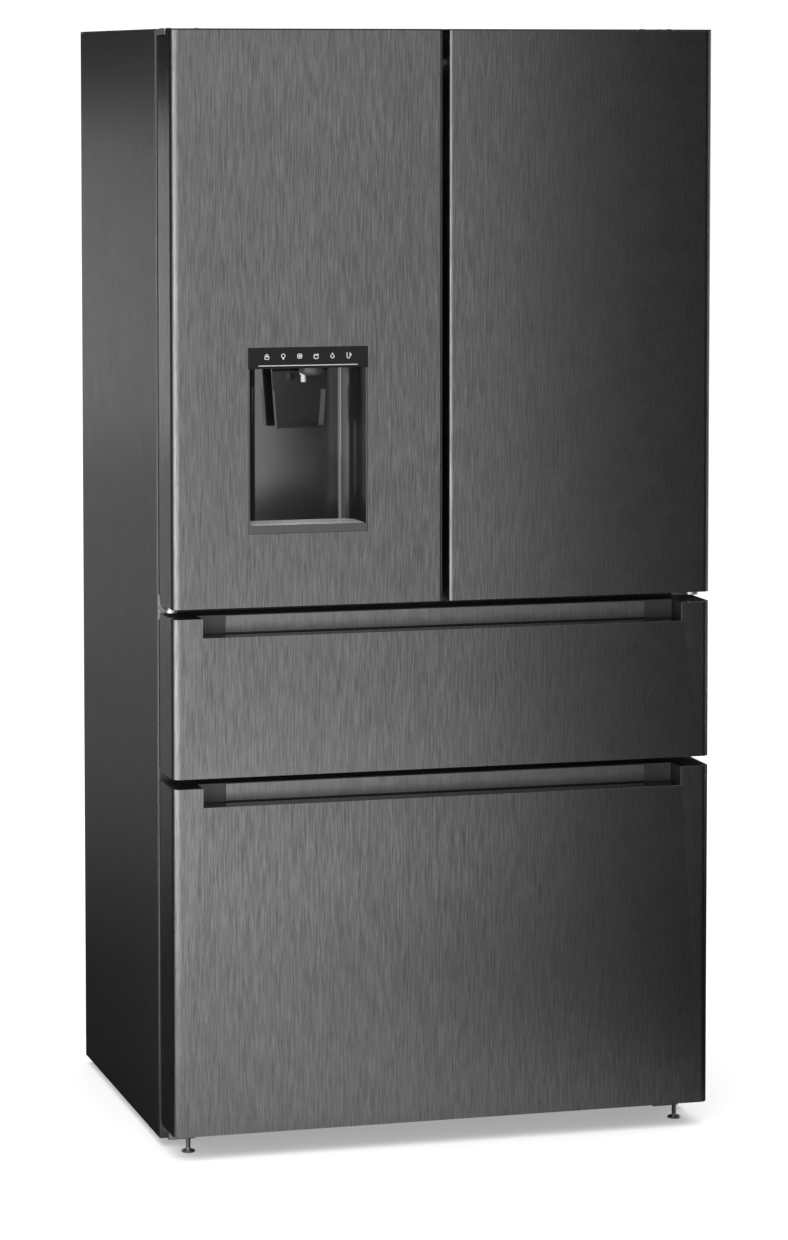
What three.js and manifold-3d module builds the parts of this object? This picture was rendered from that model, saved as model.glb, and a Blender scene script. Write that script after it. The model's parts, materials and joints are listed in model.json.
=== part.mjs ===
// A free-standing french door refrigerator: two hinged doors above, a wide middle drawer and a
// bottom freezer drawer. Millimetres, +Z up, the front faces -Y. The origin is on the floor, in
// the middle of the footprint.

import * as THREE from 'three';
import { mergeVertices } from 'three/addons/utils/BufferGeometryUtils.js';
import Module from 'manifold-3d';

const wasm = await Module();
wasm.setup();

// Overall sizes

const overallWidth = 910;
const overallHeight = 1822;
const overallDepth = 720;

// Doors and drawer fronts

const frontThickness = 95;
const frontEdgeRadius = 13;
const middleEdgeRadius = 6; // where the two doors meet
const doorGap = 10; // between the two doors
const revealGap = 16; // between fronts that lie one above another
const freezerFrontBottom = 40;
const freezerFrontHeight = 566;
const flexFrontHeight = 258;

// Sheets, walls and gaps

const sheet = 1.2;
const linerWall = 2.5;
const panWall = 3;
const gap = 0.3; // between pieces that touch
const slideGap = 0.8; // between pieces that slide or turn

// Gaskets

const gasketDepth = 15;
const gasketWidth = 16;
const gasketInset = 14; // from a front's edge
const gasketFreeInset = 5; // from a door's free edge
const gasketLand = 20; // face left between a gasket and the compartment

// Cabinet

const cabinetBottom = 13;
const topCoverSheet = 2.1;
const hingeRecess = 7.6; // depth of the space for the hinge arms under the top cover
const frameSheet = 6;
const rearWall = 55;
const machineDepth = 200;
const machineHeight = 276;
const machineRoof = 40; // foam between the machine compartment and the freezer

// Inside the fridge compartment

const shelfThickness = 6;
const shelfLip = 12;
const shelfLipDepth = 6;
const shelfCount = 3;
const crisperHeight = 176;
const crisperGap = 10;
const ledgeWidth = 8;
const ledgeHeight = 8;
const storageBack = 12; // from shelves to the back wall
const ductWidth = 220;
const ductDepth = 14;
const ductSlots = 6;
const iceMakerWidth = 220;
const iceMakerHeight = 160;
const iceMakerWall = 6;

// Door racks and the rim that holds them

const rimInset = 8; // from the compartment's wall to the rim
const rimWall = 12;
const rimDepth = 45;
const rimFreeInsetLeft = 63; // the folded mullion flap needs more room
const rimFreeInsetRight = 40;
const rackReach = 107;
const rackWall = 3;
const rackFill = 0.48; // how much of its pitch a rack's walls take
const rackLug = 6;
const rackToShelf = 12;

// Hinges

const hingeSideInset = 12; // from a door's side to its axis
const hingeDepth = 60; // from a door's front to its axis
const hingeArmHalf = 11;
const hingeArmBack = 50; // how far an arm reaches over the cabinet
const hingePinRadius = 5;
const hingePinLength = 22;
const middleArmThickness = 5;
const middleArmDrop = 6; // below a door's bottom
const capThickness = 16;

// Mullion flap

const flapPivotInset = 34; // left of the middle
const flapPivotDepth = 8; // in front of the cabinet's face
const flapPivotRadius = 5;
const flapThickness = 18;
const flapBehindPivot = 4;
const flapEndClearance = 6;

// Dispenser

const dispenserLeft = 125; // from the door's side
const dispenserWidth = 198.5;
const dispenserBottom = 118; // above the door's bottom
const dispenserHeight = 299.4;
const dispenserBezel = 3;
const dispenserPanelHeight = 34.4;
const dispenserPanelThickness = 4;
const dispenserLipHeight = 13;
const dispenserLipDepth = 8;
const nicheBehind = 12; // from the niche's back to the door's inner pan
const nicheCornerRadius = 28;
const housingWall = 2.5;
const nozzleDepth = 45; // behind the front
const nozzleCollarRadius = 21;
const nozzleCollarShift = 14; // to the right of the spout
const nozzleCollarHeight = 13;
const nozzleTipRadius = 5;
const nozzleTipHeight = 12;
const nozzleBore = 3;
const paddleClearance = 22; // in front of the niche's back
const paddleHeight = 96;
const paddleTopHalf = 47;
const paddleBottomHalf = 40;
const paddleThickness = 3;
const paddleWing = 9;
const paddleTopDrop = 4;
const trayFloor = 2.2;
const trayRim = 4;
const trayNotchRadius = 11;
const bulgeDepth = 32;
const bulgeMargin = 15;

// Handle recesses in the drawer fronts

const recessSideInset = 50;
const recessDepth = 50;
const recessHeight = 31;
const stripInset = 48; // from the recess's end to its metal strip
const stripThickness = 1.6;
const stripMargin = 1.5;

// Drawer frames, runners and bins

const runnerHeight = 18;
const runnerWidth = 12;
const railWall = 3;
const railLip = 8;
const railFrontSetback = 15;
const frameCrossDepth = 20;
const binWall = 2.5;
const binRim = 3;
const binFrontSetback = 14;
const flexRunnerZ = 168; // above the front's bottom
const freezerRunnerZ = 362;
const runnerReach = 500; // behind the cabinet's face
const flexBinReach = 400;
const freezerBinReach = 370;
const binFloorClearance = 10;
const freezerTrayReach = 150;
const freezerTrayHeight = 88;
const evaporatorDepth = 38;
const evaporatorHeight = 110;
const evaporatorFins = 24;

// Feet and rollers

const footInset = 37; // from the cabinet's side
const footDepth = 64; // behind the front
const footPadRadius = 11;
const footPadHeight = 5;
const footStemRadius = 4;
const footNutRadius = 7.5;
const footNutHeight = 4;
const footTabHalf = 22;
const footTabZ = 29;
const footTabThickness = 5;
const footStemTop = 37;
const rollerRadius = 20;
const rollerWidth = 20;
const rollerInset = 55;
const rollerDepth = 60; // in front of the back
const rollerAxleRadius = 3;
const rollerEar = 3;
const rollerEarHalf = 10;

// Machine compartment

const compressorRadius = 78;
const compressorHeight = 165;
const compressorX = 230;
const condenserWidth = 300;
const condenserHeight = 150;
const condenserDepth = 120;
const condenserFins = 20;
const coverSlots = 12;
const coverSlotHeight = 60;

// Places worked out from the sizes above

const halfWidth = overallWidth / 2;
const frontY = -overallDepth / 2;
const backY = overallDepth / 2;
const panBackY = frontY + frontThickness;
const cabinetFrontY = panBackY + gasketDepth;
const frameBackY = cabinetFrontY + frameSheet;
const openingInset = gasketInset + gasketWidth + gasketLand;
const openingHalf = halfWidth - openingInset;
const coverBottomZ = overallHeight - topCoverSheet;
const steelTopZ = coverBottomZ - gap;
const topPanelZ = steelTopZ - hingeRecess;
const flexFrontBottom = freezerFrontBottom + freezerFrontHeight + revealGap;
const doorBottom = flexFrontBottom + flexFrontHeight + revealGap;
const linerBackY = backY - rearWall;
const machineFrontY = backY - machineDepth;
const machineTopZ = cabinetBottom + machineHeight;
const freezerStepZ = machineTopZ + machineRoof;
const freezerLowBackY = machineFrontY - rearWall / 2;
const hingeX = halfWidth - hingeSideInset;
const hingeY = frontY + hingeDepth;
const rackBackY = panBackY + panWall + rackReach;
const shelfFrontY = rackBackY + rackToShelf;
const shelfBackY = linerBackY - storageBack - ductDepth;

const fridgeZ = [doorBottom + openingInset, overallHeight - openingInset];
const flexZ = [flexFrontBottom + openingInset, flexFrontBottom + flexFrontHeight - openingInset];
const freezerZ = [
  freezerFrontBottom + openingInset,
  freezerFrontBottom + freezerFrontHeight - openingInset
];

// Materials

function paint(color, roughness, metalness) {
  return new THREE.MeshStandardMaterial({ color, roughness, metalness, flatShading: true });
}

const brushedSteel = paint(0x595b5e, 0.38, 1);
const sideSteel = paint(0x4b4d50, 0.42, 0.9);
const stripSteel = paint(0x6d6f72, 0.35, 1);
const zincSteel = paint(0xb4b7ba, 0.45, 0.9);
const blackPlastic = paint(0x151516, 0.45, 0);
const nicheGrey = paint(0x2e3033, 0.2, 0);
const panelBlack = paint(0x08080a, 0.08, 0);
const nozzleSilver = paint(0xd5d7d9, 0.3, 0.4);
const gasketRubber = paint(0x2c2d2f, 0.8, 0);
const linerWhite = paint(0xe9ebec, 0.4, 0);
const foam = paint(0xd8c48f, 0.95, 0);
const aluminium = paint(0xc3c6c8, 0.35, 1);
const compressorBlack = paint(0x1c1c1d, 0.5, 0.3);
const clearPlastic = new THREE.MeshStandardMaterial({
  color: 0xdfe8ea,
  roughness: 0.1,
  metalness: 0,
  transparent: true,
  opacity: 0.5,
  flatShading: true
});

// Solids

function solidFrom(geometry) {
  geometry.deleteAttribute('normal');
  geometry.deleteAttribute('uv');
  const merged = mergeVertices(geometry);
  const mesh = new wasm.Mesh({
    numProp: 3,
    vertProperties: new Float32Array(merged.attributes.position.array),
    triVerts: new Uint32Array(merged.index.array)
  });
  return new wasm.Manifold(mesh);
}

function block(x, y, z) {
  const size = [x, y, z].map(([a, b]) => Math.abs(b - a));
  const middle = [x, y, z].map(([a, b]) => (a + b) / 2);
  return solidFrom(new THREE.BoxGeometry(...size).translate(...middle));
}

function extrude(shape, range, curveSegments = 6) {
  const depth = range[1] - range[0];
  return new THREE.ExtrudeGeometry(shape, { depth, bevelEnabled: false, curveSegments });
}

function outline(points) {
  return new THREE.Shape(points.map(([u, v]) => new THREE.Vector2(u, v)));
}

function prismZ(shape, z) {
  return solidFrom(extrude(shape, z).translate(0, 0, z[0]));
}

function prismY(shape, y) {
  return solidFrom(extrude(shape, y).rotateX(Math.PI / 2).translate(0, y[1], 0));
}

function prismX(shape, x) {
  const turn = new THREE.Matrix4().makeBasis(
    new THREE.Vector3(0, 1, 0),
    new THREE.Vector3(0, 0, 1),
    new THREE.Vector3(1, 0, 0)
  );
  return solidFrom(extrude(shape, x).applyMatrix4(turn).translate(x[0], 0, 0));
}

function rodZ(x, y, z, radius, sides = 24) {
  const rod = new THREE.CylinderGeometry(radius, radius, z[1] - z[0], sides);
  return solidFrom(rod.rotateX(Math.PI / 2).translate(x, y, (z[0] + z[1]) / 2));
}

function rodX(x, y, z, radius, sides = 24) {
  const rod = new THREE.CylinderGeometry(radius, radius, x[1] - x[0], sides);
  return solidFrom(rod.rotateZ(Math.PI / 2).translate((x[0] + x[1]) / 2, y, z));
}

function latheZ(profile, x, y, z, sides = 24) {
  const points = profile.map(([r, h]) => new THREE.Vector2(r, h));
  return solidFrom(new THREE.LatheGeometry(points, sides).rotateX(Math.PI / 2).translate(x, y, z));
}

function ring(x, z, width, y) {
  const outer = block(x, y, z);
  const inner = block([x[0] + width, x[1] - width], [y[0] - 1, y[1] + 1], [z[0] + width, z[1] - width]);
  return outer.subtract(inner);
}

function openTub(x, y, z, wall) {
  const inside = block(
    [x[0] + wall, x[1] - wall],
    [y[0] + wall, y[1] - wall],
    [z[0] + wall, z[1] + 1]
  );
  return block(x, y, z).subtract(inside);
}

function mirrored(side, near, far) {
  return side < 0 ? [-far, -near] : [near, far];
}

function addPiece(group, name, solid, material) {
  const result = solid.getMesh();
  const geometry = new THREE.BufferGeometry();
  geometry.setAttribute('position', new THREE.BufferAttribute(result.vertProperties, 3));
  geometry.setIndex(new THREE.BufferAttribute(result.triVerts, 1));
  geometry.computeVertexNormals();
  const mesh = new THREE.Mesh(geometry, material);
  mesh.name = name;
  group.add(mesh);
  return mesh;
}

// A front seen from above: square at the back, with round vertical edges at the front.
function frontOutline(x, y, inset = 0) {
  const [left, right] = x.map((edge) => {
    const meetsDoor = Math.abs(edge) < doorGap / 2 + inset + 1;
    return (meetsDoor ? middleEdgeRadius : frontEdgeRadius) - inset;
  });
  const shape = new THREE.Shape();
  shape.moveTo(x[0], y[1]);
  shape.lineTo(x[0], y[0] + left);
  shape.absarc(x[0] + left, y[0] + left, left, Math.PI, 1.5 * Math.PI, false);
  shape.lineTo(x[1] - right, y[0]);
  shape.absarc(x[1] - right, y[0] + right, right, 1.5 * Math.PI, 2 * Math.PI, false);
  shape.lineTo(x[1], y[1]);
  shape.closePath();
  return shape;
}

function frontShell(x, z) {
  const outer = prismZ(frontOutline(x, [frontY, panBackY]), z);
  const innerX = [x[0] + sheet, x[1] - sheet];
  const innerY = [frontY + sheet, panBackY + 1];
  const inner = prismZ(frontOutline(innerX, innerY, sheet), [z[0] - 1, z[1] + 1]);
  return outer.subtract(inner);
}

// What fits inside a front's shell, between two heights.
function frontFill(x, z) {
  const inset = sheet + gap;
  const innerX = [x[0] + inset, x[1] - inset];
  return prismZ(frontOutline(innerX, [frontY + inset, panBackY], inset), z);
}

// Cabinet

function outerWrapper() {
  const inner = halfWidth - sheet;
  const profile = outline([
    [-halfWidth, cabinetBottom],
    [-inner, cabinetBottom],
    [-inner, topPanelZ - sheet],
    [inner, topPanelZ - sheet],
    [inner, cabinetBottom],
    [halfWidth, cabinetBottom],
    [halfWidth, steelTopZ],
    [inner, steelTopZ],
    [inner, topPanelZ],
    [-inner, topPanelZ],
    [-inner, steelTopZ],
    [-halfWidth, steelTopZ]
  ]);
  return prismY(profile, [frameBackY + gap, backY]);
}

function topCover() {
  const lid = block([-halfWidth, halfWidth], [cabinetFrontY, backY], [coverBottomZ, overallHeight]);
  const ribY = hingeArmBack + 30;
  const ribZ = [topPanelZ + gap, coverBottomZ];
  const ribX = halfWidth - sheet - gap;
  const rib = block([-ribX, ribX], [cabinetFrontY + ribY, cabinetFrontY + ribY + 3], ribZ);
  return lid.add(rib);
}

function rearPanel() {
  const x = halfWidth - sheet - gap;
  return block([-x, x], [backY - sheet, backY], [machineTopZ + gap, topPanelZ - sheet - gap]);
}

function machineCover() {
  const x = halfWidth - sheet - gap;
  const plate = block([-x, x], [backY - sheet, backY], [cabinetBottom + 2, machineTopZ]);
  const pitch = (2 * x) / (coverSlots + 1);
  const slotY = [backY - sheet - 1, backY + 1];
  let cover = plate;
  for (let row = 0; row < 2; row++) {
    const z = machineTopZ - 40 - coverSlotHeight - row * (coverSlotHeight + 30);
    for (let i = 1; i <= coverSlots; i++) {
      const middle = -x + i * pitch;
      const slot = block([middle - pitch / 4, middle + pitch / 4], slotY, [z, z + coverSlotHeight]);
      cover = cover.subtract(slot);
    }
  }
  return cover;
}

function compartmentProfile(back, z, stepped) {
  const front = frameBackY;
  if (!stepped) {
    return [[front, z[0]], [back, z[0]], [back, z[1]], [front, z[1]]];
  }
  return [
    [front, z[0]],
    [freezerLowBackY, z[0]],
    [freezerLowBackY, freezerStepZ],
    [back, freezerStepZ],
    [back, z[1]],
    [front, z[1]]
  ];
}

// The compartment's space, grown on every side but the front.
function compartmentSpace(z, stepped, grow) {
  const points = compartmentProfile(linerBackY, z, stepped).map(([y, height]) => {
    const isFront = y === frameBackY;
    const isLow = height === z[0] || (stepped && height === freezerStepZ);
    return [isFront ? y - 1 : y + grow, isLow ? height - grow : height + grow];
  });
  const half = openingHalf + grow;
  return prismX(outline(points), [-half, half]);
}

function linerShell(z, stepped) {
  const outer = compartmentSpace(z, stepped, linerWall);
  const inner = compartmentSpace(z, stepped, 0);
  const frontCut = block([-halfWidth, halfWidth], [frameBackY - 2, frameBackY + gap], [0, overallHeight]);
  return outer.subtract(inner).subtract(frontCut);
}

const shelfTop = fridgeZ[1] - gap;
const shelfBase = fridgeZ[0] + crisperHeight + shelfThickness + 8;
const shelfPitch = (shelfTop - shelfBase) / shelfCount;

function shelfZ(index) {
  return shelfBase + index * shelfPitch;
}

function fridgeLiner() {
  let liner = linerShell(fridgeZ, false);
  for (let i = 0; i < shelfCount; i++) {
    const top = shelfZ(i) - gap;
    for (const side of [-1, 1]) {
      const x = mirrored(side, openingHalf - ledgeWidth, openingHalf + 1);
      liner = liner.add(block(x, [shelfFrontY + 20, shelfBackY - 20], [top - ledgeHeight, top]));
    }
  }
  return liner;
}

function insulation() {
  const x = halfWidth - sheet - gap;
  const y = [frameBackY + gap, backY - sheet - gap];
  let body = block([-x, x], y, [cabinetBottom + sheet + gap + 2, topPanelZ - sheet - gap]);
  const grow = linerWall + gap;
  body = body.subtract(compartmentSpace(fridgeZ, false, grow));
  body = body.subtract(compartmentSpace(flexZ, false, grow));
  body = body.subtract(compartmentSpace(freezerZ, true, grow));
  return body.subtract(block([-halfWidth, halfWidth], [machineFrontY, backY], [0, machineTopZ]));
}

function frontFrame() {
  let frame = block([-halfWidth, halfWidth], [cabinetFrontY, frameBackY], [cabinetBottom, topPanelZ]);
  for (const z of [fridgeZ, flexZ, freezerZ]) {
    const hole = block([-openingHalf, openingHalf], [cabinetFrontY - 1, frameBackY + 1], z);
    frame = frame.subtract(hole);
  }
  return frame;
}

function rollerX(side) {
  const middle = halfWidth - rollerInset;
  return mirrored(side, middle - rollerWidth / 2, middle + rollerWidth / 2);
}

function basePan() {
  const x = halfWidth - sheet - gap;
  const floorZ = [cabinetBottom, cabinetBottom + sheet];
  let pan = block([-x, x], [frameBackY + gap, backY - sheet - gap], floorZ);
  const footX = halfWidth - footInset;
  const footY = frontY + footDepth;
  const rollerY = backY - rollerDepth;
  for (const side of [-1, 1]) {
    const post = block(
      [side * footX - footTabHalf, side * footX + footTabHalf],
      [cabinetFrontY - gap - 3, cabinetFrontY - gap],
      [cabinetBottom - 3, footTabZ + footTabThickness]
    );
    const bridge = block(
      [side * footX - footTabHalf, side * footX + footTabHalf],
      [cabinetFrontY - gap - 3, frameBackY + 20],
      [cabinetBottom - 3, cabinetBottom - gap]
    );
    const riser = block(
      [side * footX - footTabHalf, side * footX + footTabHalf],
      [frameBackY + 10, frameBackY + 20],
      [cabinetBottom - 3, cabinetBottom + sheet]
    );
    const tabShape = new THREE.Shape();
    tabShape.moveTo(side * footX - footTabHalf, cabinetFrontY - gap);
    tabShape.lineTo(side * footX - footTabHalf, footY);
    tabShape.absarc(side * footX, footY, footTabHalf, Math.PI, 2 * Math.PI, false);
    tabShape.lineTo(side * footX + footTabHalf, cabinetFrontY - gap);
    const tab = prismZ(tabShape, [footTabZ, footTabZ + footTabThickness]);
    const hole = rodZ(side * footX, footY, [0, 60], footStemRadius + slideGap);
    pan = pan.add(post).add(bridge).add(riser).add(tab).subtract(hole);

    const [near, far] = rollerX(side);
    const slotX = [near - slideGap, far + slideGap];
    const slotY = [rollerY - rollerRadius - 4, rollerY + rollerRadius + 4];
    pan = pan.subtract(block(slotX, slotY, [0, cabinetBottom + 10]));
    for (const earX of [[slotX[0] - rollerEar, slotX[0]], [slotX[1], slotX[1] + rollerEar]]) {
      const ear = block(
        earX,
        [rollerY - rollerEarHalf, rollerY + rollerEarHalf],
        [cabinetBottom, rollerRadius + rollerEarHalf]
      );
      const bore = rodX([earX[0] - 1, earX[1] + 1], rollerY, rollerRadius, rollerAxleRadius + 0.5);
      pan = pan.add(ear.subtract(bore));
    }
  }
  return pan;
}

function shelf(index) {
  const z = shelfZ(index);
  const lipZ = z - shelfLip + shelfThickness;
  const profile = outline([
    [shelfFrontY, lipZ],
    [shelfFrontY + shelfLipDepth, lipZ],
    [shelfFrontY + shelfLipDepth, z],
    [shelfBackY - shelfLipDepth, z],
    [shelfBackY - shelfLipDepth, lipZ],
    [shelfBackY, lipZ],
    [shelfBackY, z + shelfThickness],
    [shelfFrontY, z + shelfThickness]
  ]);
  const half = openingHalf - slideGap;
  return prismX(profile, [-half, half]);
}

function crisper(side) {
  const x = mirrored(side, crisperGap / 2, openingHalf - ledgeWidth / 2);
  const z = [fridgeZ[0] + gap + 2, fridgeZ[0] + crisperHeight - 6];
  const tub = openTub(x, [shelfFrontY, shelfBackY], z, binWall);
  const grip = block(
    [x[0] + 60, x[1] - 60],
    [shelfFrontY - 5, shelfFrontY + binWall],
    [z[1] - 26, z[1] - 20]
  );
  return tub.add(grip);
}

function airDuct() {
  const z = [shelfZ(0) + shelfThickness + 30, fridgeZ[1] - 20];
  const y = [linerBackY - ductDepth, linerBackY - gap];
  let duct = block([-ductWidth / 2, ductWidth / 2], y, z);
  const hollow = block([-ductWidth / 2 + 3, ductWidth / 2 - 3], [y[0] + 3, y[1] + 1], [z[0] + 3, z[1] - 3]);
  duct = duct.subtract(hollow);
  const pitch = (z[1] - z[0]) / ductSlots;
  for (let i = 0; i < ductSlots; i++) {
    const slotZ = z[0] + (i + 0.7) * pitch;
    duct = duct.subtract(block([-70, 70], [y[0] - 1, y[0] + 4], [slotZ, slotZ + 8]));
  }
  return duct;
}

function iceMaker() {
  const x = [-openingHalf + slideGap, -openingHalf + slideGap + iceMakerWidth];
  const z = [fridgeZ[1] - gap - iceMakerHeight, fridgeZ[1] - gap];
  const y = [shelfFrontY, shelfBackY];
  const housing = block(x, y, z);
  const bay = block(
    [x[0] + iceMakerWall, x[1] - iceMakerWall],
    [y[0] - 1, y[1] - iceMakerWall],
    [z[0] + iceMakerWall, z[1] - iceMakerWall - 30]
  );
  return housing.subtract(bay);
}

function finStack(x, y, z, fins, plate) {
  const pitch = (x[1] - x[0]) / fins;
  const points = [[x[0], y[1]], [x[0], y[0]]];
  for (let i = 0; i < fins; i++) {
    const start = x[0] + i * pitch;
    const finEnd = start + pitch * 0.35;
    points.push([finEnd, y[0]]);
    if (i < fins - 1) {
      points.push([finEnd, y[1] - plate], [start + pitch, y[1] - plate], [start + pitch, y[0]]);
    }
  }
  points.push([x[0] + (fins - 1 + 0.35) * pitch, y[1]]);
  return prismZ(outline(points), z);
}

function evaporator() {
  const half = openingHalf - 60;
  const z = [freezerZ[1] - 20 - evaporatorHeight, freezerZ[1] - 20];
  const y = [linerBackY - gap - evaporatorDepth, linerBackY - gap];
  return finStack([-half, half], y, z, evaporatorFins, 6);
}

function condenser() {
  const right = compressorX - compressorRadius - 50;
  const y = [backY - 40 - condenserDepth, backY - 40];
  const z = [cabinetBottom + sheet + 6, cabinetBottom + sheet + 6 + condenserHeight];
  return finStack([right - condenserWidth, right], y, z, condenserFins, 10);
}

function compressor() {
  const y = backY - machineDepth / 2;
  const base = cabinetBottom + sheet + gap;
  const r = compressorRadius;
  const top = compressorHeight;
  const dome = [[0, 12]];
  dome.push([r * 0.55, 12], [r * 0.92, 26], [r, 44], [r, top * 0.62]);
  for (const turn of [20, 40, 60, 75]) {
    const angle = (turn * Math.PI) / 180;
    dome.push([r * Math.cos(angle), top * 0.62 + top * 0.38 * Math.sin(angle)]);
  }
  dome.push([0, top]);
  const shell = latheZ(dome, compressorX, y, base, 28);
  const plate = block(
    [compressorX - r - 16, compressorX + r + 16],
    [y - r * 0.72, y + r * 0.72],
    [base + 8, base + 12.5]
  );
  let body = shell.add(plate);
  for (const dx of [-1, 1]) {
    for (const dy of [-1, 1]) {
      const footPlace = [compressorX + dx * (r + 2), y + dy * r * 0.55];
      body = body.add(rodZ(footPlace[0], footPlace[1], [base, base + 8.5], 9, 12));
    }
  }
  return body;
}

// Hinges

function hingeArm(side, y, z) {
  const x = side * hingeX;
  const arm = new THREE.Shape();
  arm.moveTo(x - hingeArmHalf, y);
  arm.lineTo(x - hingeArmHalf, hingeY);
  arm.absarc(x, hingeY, hingeArmHalf, Math.PI, 2 * Math.PI, false);
  arm.lineTo(x + hingeArmHalf, y);
  return prismZ(arm, z);
}

function hingeTop(side) {
  const x = side * hingeX;
  const low = [topPanelZ + gap, coverBottomZ - gap];
  const front = cabinetFrontY - 1;
  const arm = hingeArm(side, front, [topPanelZ + gap, overallHeight - gap]);
  const tailEdge = side * (halfWidth - sheet - gap);
  const inner = side * (hingeX - hingeArmHalf - 40);
  const neck = hingeArm(side, cabinetFrontY + 20, low);
  const neckCut = block([-halfWidth - 50, halfWidth + 50], [front, backY], [low[0] - 1, low[1] + 1]);
  const tail = block(
    [Math.min(tailEdge, inner), Math.max(tailEdge, inner)],
    [front, cabinetFrontY + hingeArmBack],
    low
  );
  const tailOnly = neck.intersect(neckCut).intersect(
    block([-halfWidth + sheet + gap, halfWidth - sheet - gap], [front, backY], low)
  );
  const pin = rodZ(x, hingeY, [topPanelZ - hingePinLength, topPanelZ + 3], hingePinRadius);
  return arm.add(tail).add(tailOnly).add(pin);
}

function hingeMiddle(side) {
  const x = side * hingeX;
  const top = doorBottom - middleArmDrop;
  const z = [top - middleArmThickness, top];
  const arm = hingeArm(side, cabinetFrontY - gap, z);
  const flangeZ = [
    doorBottom - revealGap - gasketInset + 2,
    doorBottom + gasketInset - 2
  ];
  const flangeX = mirrored(side, hingeX - 18, halfWidth - 1);
  const flange = block(flangeX, [cabinetFrontY - gap - 3, cabinetFrontY - gap], flangeZ);
  const pin = rodZ(x, hingeY, [top - 2, doorBottom + hingePinLength - 8], hingePinRadius);
  const washer = rodZ(x, hingeY, [top - 1, doorBottom - 2], hingePinRadius + 3);
  return arm.add(flange).add(pin).add(washer);
}

// The space that the top hinge's arm sweeps in a door, as the door turns around it.
function hingePocket(side) {
  const x = mirrored(side, hingeX - hingeArmHalf - 2, halfWidth + 1);
  const y = [hingeY - hingeArmHalf * 2, panBackY + 1];
  return block(x, y, [topPanelZ - 1, overallHeight + 1]);
}

// Doors

function doorX(side) {
  return mirrored(side, doorGap / 2, halfWidth);
}

const dispenserX = [-halfWidth + dispenserLeft, -halfWidth + dispenserLeft + dispenserWidth];
const dispenserZ = [doorBottom + dispenserBottom, doorBottom + dispenserBottom + dispenserHeight];
const dispenserMiddle = (dispenserX[0] + dispenserX[1]) / 2;
const nicheZ = [dispenserZ[0] + dispenserLipHeight, dispenserZ[1] - dispenserPanelHeight];
const nicheX = [dispenserX[0] + dispenserBezel, dispenserX[1] - dispenserBezel];
const nicheBackY = panBackY - panWall - nicheBehind;

function doorSkin(side) {
  let skin = frontShell(doorX(side), [doorBottom, steelTopZ]).subtract(hingePocket(side));
  if (side < 0) {
    skin = skin.subtract(block(dispenserX, [frontY - 1, frontY + sheet + 1], dispenserZ));
  }
  return skin;
}

function rimSpan(side) {
  const freeInset = side < 0 ? rimFreeInsetLeft : rimFreeInsetRight;
  return mirrored(side, doorGap / 2 + freeInset, openingHalf - rimInset);
}

const rimZ = [fridgeZ[0] + rimInset, fridgeZ[1] - rimInset];

function rackPlaces(side) {
  const count = side < 0 ? 2 : 3;
  const base = side < 0 ? dispenserZ[1] + bulgeMargin : rimZ[0] + rimWall;
  const pitch = (rimZ[1] - rimWall - base) / count;
  const places = [];
  for (let i = 0; i < count; i++) {
    const bottom = base + i * pitch + rackLug + 2;
    places.push([bottom, bottom + rackFill * pitch]);
  }
  return places;
}

function doorLiner(side) {
  const x = doorX(side);
  const inset = sheet + gap;
  const panX = [x[0] + inset, x[1] - inset];
  const panZ = [doorBottom + 1, steelTopZ - 1];
  let liner = block(panX, [panBackY - panWall, panBackY], panZ);
  liner = liner.add(frontFill(x, [steelTopZ - capThickness, overallHeight - 0.5]));
  const lidShape = frontOutline(x, [frontY, panBackY]);
  liner = liner.add(prismZ(lidShape, [steelTopZ + gap, overallHeight]));
  liner = liner.add(frontFill(x, [doorBottom + 1, doorBottom + capThickness]));

  const rim = rimSpan(side);
  liner = liner.add(ring(rim, rimZ, rimWall, [panBackY - 1, panBackY + rimDepth]));
  const lugReach = [panBackY - 1, panBackY + rimDepth - 4];
  for (const [bottom] of rackPlaces(side)) {
    const lugZ = [bottom - gap - rackLug, bottom - gap];
    liner = liner.add(block([rim[0] + rimWall - 1, rim[0] + rimWall + 10], lugReach, lugZ));
    liner = liner.add(block([rim[1] - rimWall - 10, rim[1] - rimWall + 1], lugReach, lugZ));
  }
  if (side < 0) {
    liner = liner.add(bulgeBlock(0)).subtract(bulgeBlock(panWall));
  }
  const x0 = side * hingeX;
  const boreRadius = hingePinRadius + slideGap;
  const topBore = rodZ(x0, hingeY, [steelTopZ - capThickness - 1, overallHeight], boreRadius);
  const bottomBore = rodZ(x0, hingeY, [doorBottom, doorBottom + capThickness + 1], boreRadius);
  return liner.subtract(hingePocket(side)).subtract(topBore).subtract(bottomBore);
}

// The swelling behind the dispenser, or with a wall given, the hollow inside it.
function bulgeBlock(wall) {
  const x = [dispenserX[0] - bulgeMargin + wall, dispenserX[1] + bulgeMargin - wall];
  const z = [dispenserZ[0] - bulgeMargin + wall, dispenserZ[1] - gap - wall];
  return block(x, [panBackY - 1 - wall, panBackY + bulgeDepth - wall], z);
}

function gasketRing(x, z) {
  const y = [panBackY + gap, cabinetFrontY - gap];
  const foot = ring(x, z, gasketWidth, [y[0], y[0] + 4]);
  const bulbX = [x[0] + 2, x[1] - 2];
  const bulb = ring(bulbX, [z[0] + 2, z[1] - 2], gasketWidth - 4, [y[0] + 3, y[1]]);
  return foot.add(bulb);
}

function doorGasket(side) {
  const x = mirrored(side, doorGap / 2 + gasketFreeInset, halfWidth - gasketInset);
  return gasketRing(x, [doorBottom + gasketInset, overallHeight - gasketInset]);
}

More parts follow.
